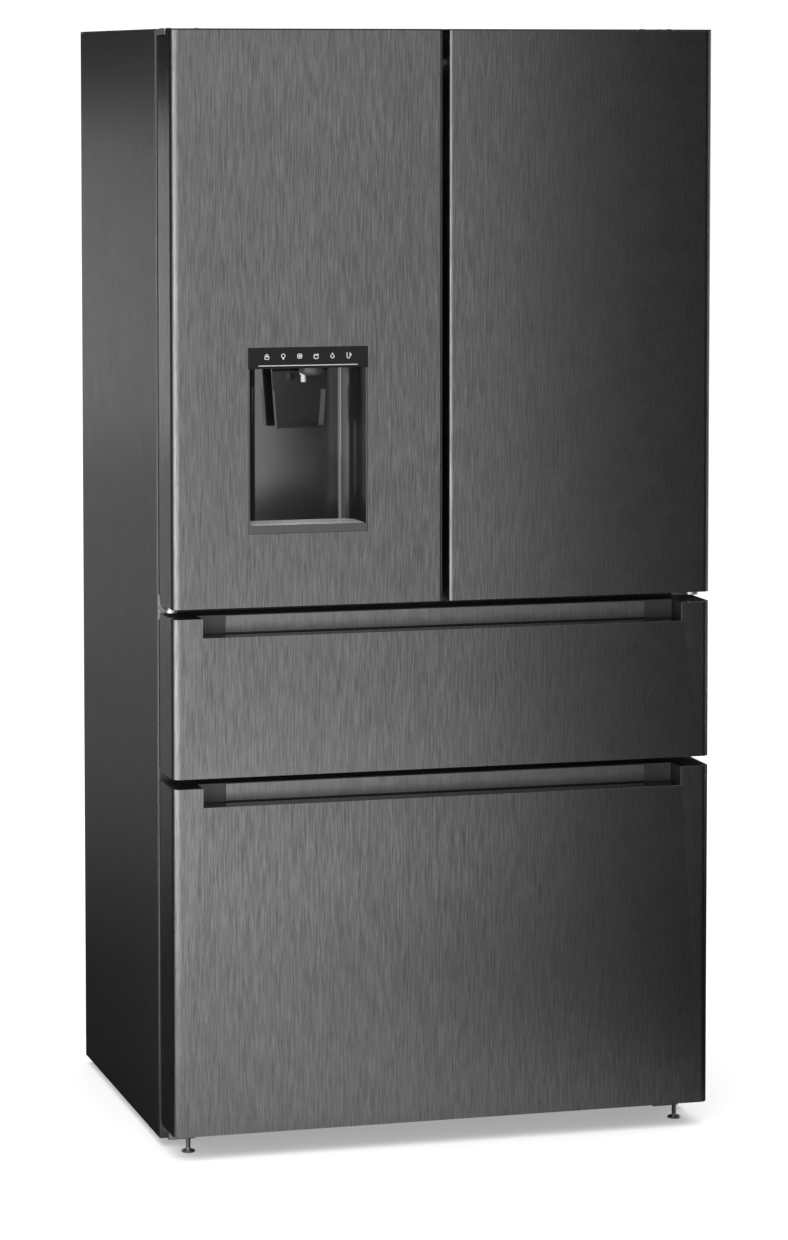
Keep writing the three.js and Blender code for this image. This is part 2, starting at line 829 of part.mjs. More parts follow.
function doorRack(side, [bottom, top]) {
  const rim = rimSpan(side);
  const x = [rim[0] + rimWall + gap, rim[1] - rimWall - gap];
  const y = [panBackY + gap, rackBackY];
  const tub = openTub(x, y, [bottom, top], rackWall);
  const lowFront = block([x[0] - 1, x[1] + 1], [y[0] - 1, y[0] + rackWall + 1], [bottom + 30, top + 1]);
  return tub.subtract(lowFront);
}

// Dispenser, in the left door

function nicheOutline(x, back, radius) {
  const shape = new THREE.Shape();
  shape.moveTo(x[0], frontY - 1);
  shape.lineTo(x[1], frontY - 1);
  shape.lineTo(x[1], back - radius);
  shape.absarc(x[1] - radius, back - radius, radius, 0, Math.PI / 2, false);
  shape.lineTo(x[0] + radius, back);
  shape.absarc(x[0] + radius, back - radius, radius, Math.PI / 2, Math.PI, false);
  shape.closePath();
  return shape;
}

function dispenserHousing() {
  const x = [dispenserX[0] + gap, dispenserX[1] - gap];
  const z = [dispenserZ[0] + gap, dispenserZ[1] - gap];
  let housing = block(x, [frontY, nicheBackY + housingWall], z);
  const floorZ = dispenserZ[0] + gap + housingWall;
  const niche = nicheOutline(nicheX, nicheBackY, nicheCornerRadius);
  housing = housing.subtract(prismZ(niche, [floorZ, nicheZ[1]]));
  const lip = block(x, [frontY, frontY + dispenserLipDepth], [z[0], nicheZ[0]]);
  housing = housing.add(lip);
  const panelY = frontY + dispenserPanelThickness + gap;
  housing = housing.subtract(block([x[0] - 1, x[1] + 1], [frontY - 1, panelY], [nicheZ[1], z[1] + 1]));
  const bay = block(
    [x[0] + housingWall, x[1] - housingWall],
    [panelY + housingWall, nicheBackY + housingWall + 1],
    [nicheZ[1] + 5, z[1] - housingWall]
  );
  return housing.subtract(bay).subtract(paddleHingeSeat());
}

const paddleAxisY = nicheBackY - paddleClearance;
const paddleAxisZ = nicheZ[1] - paddleTopDrop - 4;

function paddleHingeSeat() {
  const x = [dispenserMiddle - paddleTopHalf - 6, dispenserMiddle + paddleTopHalf + 6];
  return block(x, [paddleAxisY - 7, paddleAxisY + 9], [nicheZ[1] - 1, nicheZ[1] + 2]);
}

function dispenserPanel() {
  const x = [dispenserX[0] + gap, dispenserX[1] - gap];
  return block(x, [frontY, frontY + dispenserPanelThickness], [nicheZ[1] + gap, dispenserZ[1] - gap]);
}

function dispenserNozzle() {
  const collar = nozzleCollarRadius;
  const low = -nozzleCollarHeight;
  const tip = low - nozzleTipHeight;
  const collarProfile = [
    [0, -gap],
    [0, low],
    [collar * 0.72, low],
    [collar * 0.94, low + 3],
    [collar, low + 8],
    [collar, -gap],
    [0, -gap]
  ];
  const spoutProfile = [
    [0, -gap],
    [0, tip],
    [nozzleTipRadius, tip],
    [nozzleTipRadius, -gap],
    [0, -gap]
  ];
  const y = frontY + nozzleDepth - 12;
  const top = nicheZ[1];
  const chute = latheZ(collarProfile, dispenserMiddle + nozzleCollarShift, y, top, 28);
  const spout = latheZ(spoutProfile, dispenserMiddle, y, top, 28);
  const bore = rodZ(dispenserMiddle, y, [top + tip - 1, top], nozzleBore, 20);
  const whole = chute.add(spout).subtract(bore);
  const rear = block(
    [dispenserMiddle - 60, dispenserMiddle + 60],
    [paddleAxisY - 8, paddleAxisY + 60],
    [nicheZ[1] - 60, nicheZ[1] + 1]
  );
  return whole.subtract(rear);
}

function dispenserPaddle() {
  const top = nicheZ[1] - paddleTopDrop;
  const bottom = top - paddleHeight;
  const face = outline([
    [dispenserMiddle - paddleTopHalf, top],
    [dispenserMiddle - paddleBottomHalf, bottom],
    [dispenserMiddle + paddleBottomHalf, bottom],
    [dispenserMiddle + paddleTopHalf, top]
  ]);
  const inner = outline([
    [dispenserMiddle - paddleTopHalf + paddleThickness, top + 1],
    [dispenserMiddle - paddleBottomHalf + paddleThickness, bottom + paddleThickness],
    [dispenserMiddle + paddleBottomHalf - paddleThickness, bottom + paddleThickness],
    [dispenserMiddle + paddleTopHalf - paddleThickness, top + 1]
  ]);
  const plateFrontY = paddleAxisY;
  const tray = prismY(face, [plateFrontY - paddleWing, plateFrontY + paddleThickness]);
  const hollow = prismY(inner, [plateFrontY - paddleWing - 1, plateFrontY]);
  const upperCut = block(
    [dispenserMiddle - 80, dispenserMiddle + 80],
    [plateFrontY - paddleWing - 1, plateFrontY],
    [top - 34, top + 1]
  );
  const axle = rodX(
    [dispenserMiddle - paddleTopHalf + 1, dispenserMiddle + paddleTopHalf - 1],
    paddleAxisY + 1,
    paddleAxisZ,
    3.4,
    16
  );
  return tray.subtract(hollow).subtract(upperCut).add(axle);
}

function dripTray() {
  const frontEdge = frontY + dispenserLipDepth + slideGap;
  const z = [dispenserZ[0] + gap + housingWall + slideGap, nicheZ[0]];
  const behindLip = block([nicheX[0], nicheX[1]], [frontEdge, nicheBackY], [z[0] - 1, z[1] + 1]);
  const insideLip = block(
    [nicheX[0], nicheX[1]],
    [frontEdge + trayRim, nicheBackY],
    [z[0] - 1, z[1] + 2]
  );
  const fitted = (inset, span) => {
    const x = [nicheX[0] + inset, nicheX[1] - inset];
    return prismZ(nicheOutline(x, nicheBackY - inset, nicheCornerRadius - inset), span);
  };
  const body = fitted(slideGap, z).intersect(behindLip);
  const inside = fitted(slideGap + trayRim, [z[0] + trayFloor, z[1] + 1]).intersect(insideLip);
  const notch = rodZ(dispenserMiddle, frontEdge, [z[0] + trayFloor, z[1] + 1], trayNotchRadius, 20);
  return body.subtract(inside).subtract(notch);
}

// Mullion flap, on the left door

function mullionFlap() {
  const z = [fridgeZ[0] + flapEndClearance, fridgeZ[1] - flapEndClearance];
  const pivotX = -flapPivotInset;
  const pivotY = cabinetFrontY - flapPivotDepth;
  const left = pivotX - flapBehindPivot;
  const y = [cabinetFrontY + gap, cabinetFrontY + gap + flapThickness];
  const bar = block([left, 0], y, z);
  const chamfer = outline([
    [left - 1, y[1] + 1],
    [left - 1, y[1] - 7],
    [left + 7, y[1] + 1]
  ]);
  let flap = bar.subtract(prismZ(chamfer, [z[0] - 1, z[1] + 1]));
  const knuckles = 3;
  const knuckleHeight = 40;
  for (let i = 0; i < knuckles; i++) {
    const bottom = z[0] + 30 + (i * (z[1] - z[0] - 60 - knuckleHeight)) / (knuckles - 1);
    const span = [bottom, bottom + knuckleHeight];
    const barrel = rodZ(pivotX, pivotY, span, flapPivotRadius, 20);
    const web = block([pivotX - 3, pivotX + 3], [pivotY, y[0] + 1], span);
    flap = flap.add(barrel).add(web);
  }
  return flap;
}

// Drawers

const recessX = [-halfWidth + recessSideInset, halfWidth - recessSideInset];

function drawerSkin(height) {
  const shell = frontShell([-halfWidth, halfWidth], [0, height]);
  const recess = block(recessX, [frontY - 1, frontY + recessDepth], [height - recessHeight, height + 1]);
  return shell.subtract(recess);
}

function drawerLiner(height) {
  const x = [-halfWidth, halfWidth];
  const inset = sheet + gap;
  const panX = [x[0] + inset, x[1] - inset];
  const recessBackY = frontY + recessDepth;
  const recessFloorZ = height - recessHeight;
  let liner = block(panX, [panBackY - panWall, panBackY], [1, height - 1]);
  liner = liner.add(frontFill(x, [height - capThickness, height]));
  liner = liner.add(frontFill(x, [1, capThickness]));
  const wallX = [recessX[0] - panWall, recessX[1] + panWall];
  const channel = block(
    wallX,
    [frontY + inset, recessBackY + panWall],
    [recessFloorZ - panWall - 2, height - 1]
  );
  const channelSpace = block(recessX, [frontY - 1, recessBackY], [recessFloorZ - 2, height + 2]);
  return liner.add(channel).subtract(channelSpace);
}

function handleStrip(height) {
  const x = [recessX[0] + stripInset, recessX[1] - stripInset];
  const back = frontY + recessDepth - gap;
  return block(x, [back - stripThickness, back], [
    height - recessHeight + stripMargin,
    height - stripMargin
  ]);
}

function drawerGasket(height) {
  const x = halfWidth - gasketInset;
  return gasketRing([-x, x], [gasketInset, height - gasketInset]);
}

const runnerOuter = openingHalf - railWall - slideGap - 1;
const runnerInner = runnerOuter - runnerWidth;
const runnerBackY = cabinetFrontY + runnerReach;

function drawerFrame(runnerZ) {
  const z = [runnerZ, runnerZ + runnerHeight];
  const frontEndY = panBackY + gap;
  let frame = block([-runnerOuter, runnerOuter], [frontEndY, frontEndY + frameCrossDepth], z);
  for (const side of [-1, 1]) {
    frame = frame.add(block(mirrored(side, runnerInner, runnerOuter), [frontEndY, runnerBackY], z));
  }
  return frame;
}

function cabinetRails(z) {
  const inside = openingHalf - gap;
  const frontEndY = frameBackY + railFrontSetback;
  const backEndY = runnerBackY + slideGap + railWall;
  const low = z - slideGap - 1 - railWall;
  const high = z + runnerHeight + slideGap + 1 + railWall;
  let rails = block([-inside, inside], [backEndY - railWall, backEndY], [low, high]);
  for (const side of [-1, 1]) {
    const web = block(mirrored(side, inside - railWall, inside), [frontEndY, backEndY], [low, high]);
    const lipX = mirrored(side, inside - railWall - railLip, inside);
    const lower = block(lipX, [frontEndY, backEndY], [low, low + railWall]);
    const upper = block(lipX, [frontEndY, backEndY], [high - railWall, high]);
    rails = rails.add(web).add(lower).add(upper);
  }
  return rails;
}

const binOuterHalf = runnerInner - slideGap;

function drawerBin(bottomZ, runnerZ, reach) {
  const y = [cabinetFrontY + binFrontSetback, cabinetFrontY + reach];
  const rimZ0 = runnerZ + runnerHeight + gap;
  const rimHalf = openingHalf - railWall - railLip - 2;
  const tub = openTub([-binOuterHalf, binOuterHalf], y, [bottomZ, rimZ0 + binRim], binWall);
  const rim = block([-rimHalf, rimHalf], y, [rimZ0, rimZ0 + binRim]);
  const rimHole = block(
    [-binOuterHalf + binWall, binOuterHalf - binWall],
    [y[0] + binWall, y[1] - binWall],
    [rimZ0 - 1, rimZ0 + binRim + 1]
  );
  return tub.add(rim.subtract(rimHole));
}

function freezerTray(runnerZ) {
  const back = cabinetFrontY + freezerBinReach - binWall;
  const bottom = runnerZ + runnerHeight + gap + binRim + slideGap;
  const half = openingHalf - railWall - railLip - 8;
  const z = [bottom, bottom + freezerTrayHeight];
  return openTub([-half, half], [back - freezerTrayReach, back], z, binWall);
}

function addDrawer(parent, prefix, bottom, height, runnerZ, compartmentFloor, binReach) {
  const drawer = new THREE.Group();
  drawer.position.z = bottom;
  parent.add(drawer);
  addPiece(drawer, `${prefix}_front_skin`, drawerSkin(height), brushedSteel);
  addPiece(drawer, `${prefix}_front_liner`, drawerLiner(height), blackPlastic);
  addPiece(drawer, `${prefix}_handle_strip`, handleStrip(height), stripSteel);
  addPiece(drawer, `${prefix}_gasket`, drawerGasket(height), gasketRubber);
  addPiece(drawer, `${prefix}_frame`, drawerFrame(runnerZ), zincSteel);
  const binBottom = compartmentFloor - bottom + binFloorClearance;
  addPiece(drawer, `${prefix}_bin`, drawerBin(binBottom, runnerZ, binReach), clearPlastic);
  return drawer;
}

// Feet and rollers

function foot() {
  const r = footPadRadius;
  const pad = latheZ([
    [0, 0], [r - 1, 0], [r, 1], [r, footPadHeight - 1.5], [r - 2, footPadHeight],
    [footStemRadius, footPadHeight + 2], [footStemRadius, footStemTop], [0, footStemTop]
  ], 0, 0, 0, 24);
  const nutZ = [footTabZ - slideGap - footNutHeight, footTabZ - slideGap];
  return pad.add(rodZ(0, 0, nutZ, footNutRadius, 6));
}

function roller() {
  const half = rollerWidth / 2 - slideGap / 2;
  const axleHalf = rollerWidth / 2 + slideGap + rollerEar + 2;
  const wheel = rodX([-half, half], 0, 0, rollerRadius, 32);
  return wheel.add(rodX([-axleHalf, axleHalf], 0, 0, rollerAxleRadius, 16));
}

// Assembly

const refrigerator = new THREE.Group();

const cabinet = new THREE.Group();
refrigerator.add(cabinet);
addPiece(cabinet, 'outer_wrapper', outerWrapper(), sideSteel);
addPiece(cabinet, 'top_cover', topCover(), blackPlastic);
addPiece(cabinet, 'rear_panel', rearPanel(), zincSteel);
addPiece(cabinet, 'machine_cover', machineCover(), zincSteel);
addPiece(cabinet, 'base_pan', basePan(), zincSteel);
addPiece(cabinet, 'insulation', insulation(), foam);
addPiece(cabinet, 'front_frame', frontFrame(), sideSteel);
addPiece(cabinet, 'fridge_liner', fridgeLiner(), linerWhite);
addPiece(cabinet, 'flex_liner', linerShell(flexZ, false), linerWhite);
addPiece(cabinet, 'freezer_liner', linerShell(freezerZ, true), linerWhite);
addPiece(cabinet, 'air_duct', airDuct(), linerWhite);
addPiece(cabinet, 'ice_maker', iceMaker(), linerWhite);
['shelf_lower', 'shelf_middle', 'shelf_upper'].forEach((name, index) => {
  addPiece(cabinet, name, shelf(index), clearPlastic);
});
addPiece(cabinet, 'evaporator', evaporator(), aluminium);
addPiece(cabinet, 'compressor', compressor(), compressorBlack);
addPiece(cabinet, 'condenser', condenser(), aluminium);
addPiece(cabinet, 'flex_rails', cabinetRails(flexFrontBottom + flexRunnerZ), zincSteel);
addPiece(cabinet, 'freezer_rails', cabinetRails(freezerFrontBottom + freezerRunnerZ), zincSteel);

for (const [word, side] of [['left', -1], ['right', 1]]) {
  addPiece(cabinet, `crisper_${word}`, crisper(side), clearPlastic);
  addPiece(cabinet, `hinge_top_${word}`, hingeTop(side), zincSteel);
  addPiece(cabinet, `hinge_middle_${word}`, hingeMiddle(side), zincSteel);
  const footPiece = addPiece(refrigerator, `foot_${word}`, foot(), zincSteel);
  footPiece.position.set(side * (halfWidth - footInset), frontY + footDepth, 0);
  const rollerPiece = addPiece(refrigerator, `rear_roller_${word}`, roller(), blackPlastic);
  rollerPiece.position.set(side * (halfWidth - rollerInset), backY - rollerDepth, rollerRadius);

  const door = new THREE.Group();
  refrigerator.add(door);
  addPiece(door, `door_${word}_skin`, doorSkin(side), brushedSteel);
  addPiece(door, `door_${word}_liner`, doorLiner(side), blackPlastic);
  addPiece(door, `door_${word}_gasket`, doorGasket(side), gasketRubber);
  const places = rackPlaces(side);
  const names = side < 0 ? ['lower', 'upper'] : ['lower', 'middle', 'upper'];
  names.forEach((name, index) => {
    addPiece(door, `door_${word}_rack_${name}`, doorRack(side, places[index]), clearPlastic);
  });
}

const dispenser = new THREE.Group();
refrigerator.add(dispenser);
addPiece(dispenser, 'dispenser_housing', dispenserHousing(), nicheGrey);
addPiece(dispenser, 'dispenser_panel', dispenserPanel(), panelBlack);
addPiece(dispenser, 'dispenser_nozzle', dispenserNozzle(), nozzleSilver);
addPiece(dispenser, 'dispenser_paddle', dispenserPaddle(), nicheGrey);
addPiece(dispenser, 'drip_tray', dripTray(), nicheGrey);
addPiece(refrigerator, 'mullion_flap', mullionFlap(), blackPlastic);

addDrawer(
  refrigerator, 'flex', flexFrontBottom, flexFrontHeight, flexRunnerZ, flexZ[0], flexBinReach
);
const freezer = addDrawer(
  refrigerator, 'freezer', freezerFrontBottom, freezerFrontHeight, freezerRunnerZ, freezerZ[0],
  freezerBinReach
);
addPiece(freezer, 'freezer_tray', freezerTray(freezerRunnerZ), clearPlastic);

export default refrigerator;
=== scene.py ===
import json
import math
import bpy
import bmesh
from mathutils import Matrix, Vector


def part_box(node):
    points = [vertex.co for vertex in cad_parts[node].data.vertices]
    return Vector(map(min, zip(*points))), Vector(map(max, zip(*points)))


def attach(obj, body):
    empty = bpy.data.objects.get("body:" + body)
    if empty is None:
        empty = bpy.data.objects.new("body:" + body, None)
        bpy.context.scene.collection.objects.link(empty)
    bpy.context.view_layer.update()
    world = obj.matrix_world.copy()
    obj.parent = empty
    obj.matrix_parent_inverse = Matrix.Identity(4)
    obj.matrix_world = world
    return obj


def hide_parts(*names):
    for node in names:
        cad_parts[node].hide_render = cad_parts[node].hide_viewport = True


# A french door refrigerator in dark brushed steel, dressed around its working model.
# Metres; the front faces -Y.

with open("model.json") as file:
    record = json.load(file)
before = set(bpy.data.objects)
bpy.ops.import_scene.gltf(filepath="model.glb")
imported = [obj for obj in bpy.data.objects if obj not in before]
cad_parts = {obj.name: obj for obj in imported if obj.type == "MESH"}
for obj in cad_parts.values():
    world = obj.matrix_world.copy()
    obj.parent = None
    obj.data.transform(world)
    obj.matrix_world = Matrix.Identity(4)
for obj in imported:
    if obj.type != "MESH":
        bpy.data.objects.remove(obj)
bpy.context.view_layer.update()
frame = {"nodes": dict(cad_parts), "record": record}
nodes = frame["nodes"]
bodyOf = {name: body for body, names in frame["record"]["behaviour"]["bodies"].items() for name in names}
slotOf = {part["node"]: part["material_slot"] for part in frame["record"]["subparts"]}
print("frame loaded:", len(nodes), "nodes")


view = {"place": (-1.9068, -6.8917, 1.7614), "yaw": 15.56, "pitch": 4.142, "lens": 122.41, "shift": -0.2}


def makeCamera():
    lens = bpy.data.cameras.new("camera")
    lens.lens = view["lens"]
    lens.sensor_width = 36
    lens.shift_y = view["shift"]
    lens.clip_start = 0.1
    lens.clip_end = 100
    camera = bpy.data.objects.new("camera", lens)
    camera.location = view["place"]
    camera.rotation_euler = (math.radians(90 - view["pitch"]), 0, -math.radians(view["yaw"]))
    bpy.context.collection.objects.link(camera)
    bpy.context.scene.camera = camera


lights = {
    # name: (place, what it faces, width, height, watts)
    "front_soft": ((-1.35, -1.96, 1.12), (-1.35, 0.0, 1.12), 3.9, 2.2, 29),
    "edge_strip": ((-2.6, -1.3, 1.1), (-0.45, -0.3, 0.95), 1.1, 2.2, 18),
    "edge_glow": ((-1.95, -1.9, 1.12), (-1.95, 0.0, 1.12), 1.9, 2.2, 15),
    "side_high": ((-1.3, 3.2, 1.25), (-0.45, 0.1, 1.3), 1.0, 0.8, 1.68),
    "side_middle": ((-1.3, 3.2, 0.6), (-0.45, 0.1, 0.65), 1.0, 0.5, 0.38),
    "side_low": ((-1.3, 3.2, 0.175), (-0.45, 0.1, 0.2), 1.0, 0.35, 0.11),
    "right_soft": ((3.4, 1.3, 1.3), (0.45, 0.1, 1.1), 2.4, 2.2, 16),
    "right_rim": ((3.4, -1.2, 1.3), (0.45, -0.3, 0.95), 0.4, 2.6, 6),
}
sun = {"strength": 4.6, "spread": 90}


def makeLights():
    for name, (place, target, width, height, watts) in lights.items():
        lamp = bpy.data.lights.new(name, "AREA")
        lamp.shape = "RECTANGLE"
        lamp.size = width
        lamp.size_y = height
        lamp.energy = watts
        lightObject = bpy.data.objects.new(name, lamp)
        lightObject.location = place
        aim = Vector(target) - Vector(place)
        lightObject.rotation_euler = aim.to_track_quat("-Z", "Y").to_euler()
        lightObject.visible_camera = False
        bpy.context.collection.objects.link(lightObject)
    lamp = bpy.data.lights.new("overhead", "SUN")
    lamp.energy = sun["strength"]
    lamp.angle = math.radians(sun["spread"])
    bpy.context.collection.objects.link(bpy.data.objects.new("overhead", lamp))


def makeWorld():
    world = bpy.data.worlds.new("studio")
    bpy.context.scene.world = world
    world.use_nodes = True
    tree = world.node_tree
    tree.nodes.clear()
    out = tree.nodes.new("ShaderNodeOutputWorld")
    pick = tree.nodes.new("ShaderNodeMixShader")
    path = tree.nodes.new("ShaderNodeLightPath")
    dim = tree.nodes.new("ShaderNodeBackground")
    white = tree.nodes.new("ShaderNodeBackground")
    dim.inputs["Color"].default_value = (0.8, 0.81, 0.82, 1)
    dim.inputs["Strength"].default_value = 0.02
    white.inputs["Color"].default_value = (1, 1, 1, 1)
    white.inputs["Strength"].default_value = 1.1
    tree.links.new(path.outputs["Is Camera Ray"], pick.inputs["Fac"])
    tree.links.new(dim.outputs[0], pick.inputs[1])
    tree.links.new(white.outputs[0], pick.inputs[2])
    tree.links.new(pick.outputs[0], out.inputs["Surface"])


floorTone = {
    "seen": 0.57, "glow": 0.36, "bright": 0.64, "dark": 0.02, "behind": 0.08,
    "acrossX": (-0.15, 0.8), "frontY": (-0.5, -0.2), "behindY": (1.0, 3.2),
}


def mathNode(tree, operation, first, second=None):
    node = tree.nodes.new("ShaderNodeMath")
    node.operation = operation
    for socket, value in zip(node.inputs, (first, second)):
        if value is None:
            continue
        if isinstance(value, (int, float)):
            socket.default_value = value
        else:
            tree.links.new(value, socket)
    return node.outputs[0]


def fadeAlong(tree, value, start, stop):
    fade = tree.nodes.new("ShaderNodeMapRange")
    fade.interpolation_type = "SMOOTHSTEP"
    fade.inputs["From Min"].default_value = start
    fade.inputs["From Max"].default_value = stop
    fade.inputs["To Min"].default_value = 1
    fade.inputs["To Max"].default_value = 0
    tree.links.new(value, fade.inputs["Value"])
    return fade.outputs[0]


def makeFloor():
    bm = bmesh.new()
    bmesh.ops.create_grid(bm, x_segments=1, y_segments=1, size=30)
    mesh = bpy.data.meshes.new("floor")
    bm.to_mesh(mesh)
    bm.free()
    floor = bpy.data.objects.new("floor", mesh)
    bpy.context.collection.objects.link(floor)
    paper = bpy.data.materials.new("studio_floor")
    paper.use_nodes = True
    tree = paper.node_tree
    tree.nodes.clear()
    out = tree.nodes.new("ShaderNodeOutputMaterial")
    pick = tree.nodes.new("ShaderNodeMixShader")
    path = tree.nodes.new("ShaderNodeLightPath")
    dim = tree.nodes.new("ShaderNodeBsdfDiffuse")
    pale = tree.nodes.new("ShaderNodeBsdfDiffuse")
    # in reflections the floor is pale in front and to the left only
    spot = tree.nodes.new("ShaderNodeTexCoord")
    apart = tree.nodes.new("ShaderNodeSeparateXYZ")
    tree.links.new(spot.outputs["Object"], apart.inputs[0])
    left = fadeAlong(tree, apart.outputs["X"], *floorTone["acrossX"])
    ahead = fadeAlong(tree, apart.outputs["Y"], *floorTone["frontY"])
    front = mathNode(tree, "MULTIPLY", mathNode(tree, "MULTIPLY", left, ahead), floorTone["bright"])
    near = mathNode(tree, "SUBTRACT", 1, fadeAlong(tree, apart.outputs["Y"], *floorTone["behindY"]))
    back = mathNode(tree, "MULTIPLY", near, floorTone["behind"])
    level = mathNode(tree, "ADD", mathNode(tree, "ADD", front, back), floorTone["dark"])
    tree.links.new(level, dim.inputs["Color"])
    pale.inputs["Color"].default_value = (*[floorTone["seen"]] * 3, 1)
    glow = tree.nodes.new("ShaderNodeEmission")
    glow.inputs["Strength"].default_value = floorTone["glow"]
    lit = tree.nodes.new("ShaderNodeAddShader")
    tree.links.new(pale.outputs[0], lit.inputs[0])
    tree.links.new(glow.outputs[0], lit.inputs[1])
    tree.links.new(path.outputs["Is Camera Ray"], pick.inputs["Fac"])
    tree.links.new(dim.outputs[0], pick.inputs[1])
    tree.links.new(lit.outputs[0], pick.inputs[2])
    tree.links.new(pick.outputs[0], out.inputs["Surface"])
    mesh.materials.append(paper)


bpy.context.scene.view_settings.view_transform = "Standard"
makeCamera()
makeLights()
makeWorld()
makeFloor()
print("stage set")


def newGroup(name, inputs, outputs):
    group = bpy.data.node_groups.new(name, "ShaderNodeTree")
    for label, default in inputs:
        socket = group.interface.new_socket(label, in_out="INPUT", socket_type="NodeSocketFloat")
        socket.default_value = default
    for label in outputs:
        group.interface.new_socket(label, in_out="OUTPUT", socket_type="NodeSocketFloat")
    start = group.nodes.new("NodeGroupInput")
    end = group.nodes.new("NodeGroupOutput")
    return group, start, end


def objectPoint(tree, across, along):
    # object coordinates scaled across the grain (x and y) and along it (z)
    spot = tree.nodes.new("ShaderNodeTexCoord")
    scale = tree.nodes.new("ShaderNodeCombineXYZ")
    stretch = tree.nodes.new("ShaderNodeVectorMath")
    stretch.operation = "MULTIPLY"
    for socket, value in zip(scale.inputs, (across, across, along)):
        if isinstance(value, (int, float)):
            socket.default_value = value
        else:
            tree.links.new(value, socket)
    tree.links.new(spot.outputs["Object"], stretch.inputs[0])
    tree.links.new(scale.outputs[0], stretch.inputs[1])
    return stretch.outputs[0]


def noiseNode(tree, point, detail, roughness=0.5):
    noise = tree.nodes.new("ShaderNodeTexNoise")
    noise.inputs["Scale"].default_value = 1
    noise.inputs["Detail"].default_value = detail
    noise.inputs["Roughness"].default_value = roughness
    tree.links.new(point, noise.inputs["Vector"])
    return noise.outputs["Fac"]


def brushGrainGroup():
    # long streaks along z: Tone is centred on 0.5
    inputs = [("Across", 300), ("Along", 24), ("Contrast", 1)]
    group, start, end = newGroup("brush_grain", inputs, ["Tone", "Height"])
    across, along, contrast = start.outputs[0], start.outputs[1], start.outputs[2]
    streaks = noiseNode(group, objectPoint(group, across, along), 2.5, 0.55)
    finer = mathNode(group, "MULTIPLY", across, 4.3)
    shorter = mathNode(group, "MULTIPLY", along, 2.1)
    hairs = noiseNode(group, objectPoint(group, finer, shorter), 2)
    broad = mathNode(group, "MULTIPLY", streaks, 0.55)
    narrow = mathNode(group, "MULTIPLY", hairs, 0.45)
    both = mathNode(group, "ADD", broad, narrow)
    centred = mathNode(group, "MULTIPLY", mathNode(group, "SUBTRACT", both, 0.5), contrast)
    group.links.new(mathNode(group, "ADD", centred, 0.5), end.inputs["Tone"])
    group.links.new(both, end.inputs["Height"])
    return group


def mouldGrainGroup():
    # the fine spark texture of moulded plastic, with a slow unevenness
    group, start, end = newGroup("mould_grain", [("Scale", 900), ("Mottle", 1)], ["Height", "Mottling"])
    fine = noiseNode(group, objectPoint(group, start.outputs[0], start.outputs[0]), 2)
    slow = noiseNode(group, objectPoint(group, 9, 9), 3)
    group.links.new(fine, end.inputs["Height"])
    mottle = mathNode(group, "MULTIPLY", mathNode(group, "SUBTRACT", slow, 0.5), start.outputs[1])
    group.links.new(mathNode(group, "ADD", mottle, 0.5), end.inputs["Mottling"])
    return group


def edgeWearGroup():
    # 1 on convex edges, broken up by noise
    group, start, end = newGroup("edge_wear", [("Reach", 1), ("Break", 60)], ["Mask"])
    geometry = group.nodes.new("ShaderNodeNewGeometry")
    lifted = mathNode(group, "SUBTRACT", geometry.outputs["Pointiness"], 0.53)
    edge = mathNode(group, "MULTIPLY", mathNode(group, "MULTIPLY", lifted, 14), start.outputs[0])
    broken = noiseNode(group, objectPoint(group, start.outputs[1], start.outputs[1]), 3)
    mask = mathNode(group, "MULTIPLY", edge, mathNode(group, "MULTIPLY", broken, 1.4))
    clamp = group.nodes.new("ShaderNodeClamp")
    group.links.new(mask, clamp.inputs[0])
    group.links.new(clamp.outputs[0], end.inputs["Mask"])
    return group


def dustGroup():
    # a faint film in patches: Film is 0 to 1
    group, start, end = newGroup("dust_film", [("Amount", 0.3), ("Scale", 22)], ["Film"])
    patches = noiseNode(group, objectPoint(group, start.outputs[1], start.outputs[1]), 5, 0.6)
    lifted = mathNode(group, "MULTIPLY", mathNode(group, "SUBTRACT", patches, 0.35), start.outputs[0])
    clamp = group.nodes.new("ShaderNodeClamp")
    group.links.new(lifted, clamp.inputs[0])
    group.links.new(clamp.outputs[0], end.inputs["Film"])
    return group


brushGrain = brushGrainGroup()
mouldGrain = mouldGrainGroup()
edgeWear = edgeWearGroup()
dustFilm = dustGroup()


def newMaterial(name, colour, roughness, metallic=0.0, **more):
    material = bpy.data.materials.new(name)
    material.use_nodes = True
    shader = material.node_tree.nodes["Principled BSDF"]
    shader.inputs["Base Color"].default_value = (*colour, 1)
    shader.inputs["Roughness"].default_value = roughness
    shader.inputs["Metallic"].default_value = metallic
    for label, value in more.items():
        shader.inputs[label.replace("_", " ")].default_value = value
    return material, material.node_tree, shader


def place(tree, group, **values):
    node = tree.nodes.new("ShaderNodeGroup")
    node.node_tree = group
    for label, value in values.items():
        node.inputs[label].default_value = value
    return node


def mixColour(tree, factor, low, high):
    mix = tree.nodes.new("ShaderNodeMix")
    mix.data_type = "RGBA"
    sockets = [s for s in mix.inputs if s.type == "RGBA"]
    for socket, value in zip(sockets, (low, high)):
        if isinstance(value, (tuple, list)):
            socket.default_value = (*value, 1)
        else:
            tree.links.new(value, socket)
    tree.links.new(factor, mix.inputs["Factor"])
    return next(s for s in mix.outputs if s.type == "RGBA")


def rangeTo(tree, value, low, high):
    fit = tree.nodes.new("ShaderNodeMapRange")
    fit.inputs["To Min"].default_value = low
    fit.inputs["To Max"].default_value = high
    tree.links.new(value, fit.inputs["Value"])
    return fit.outputs[0]


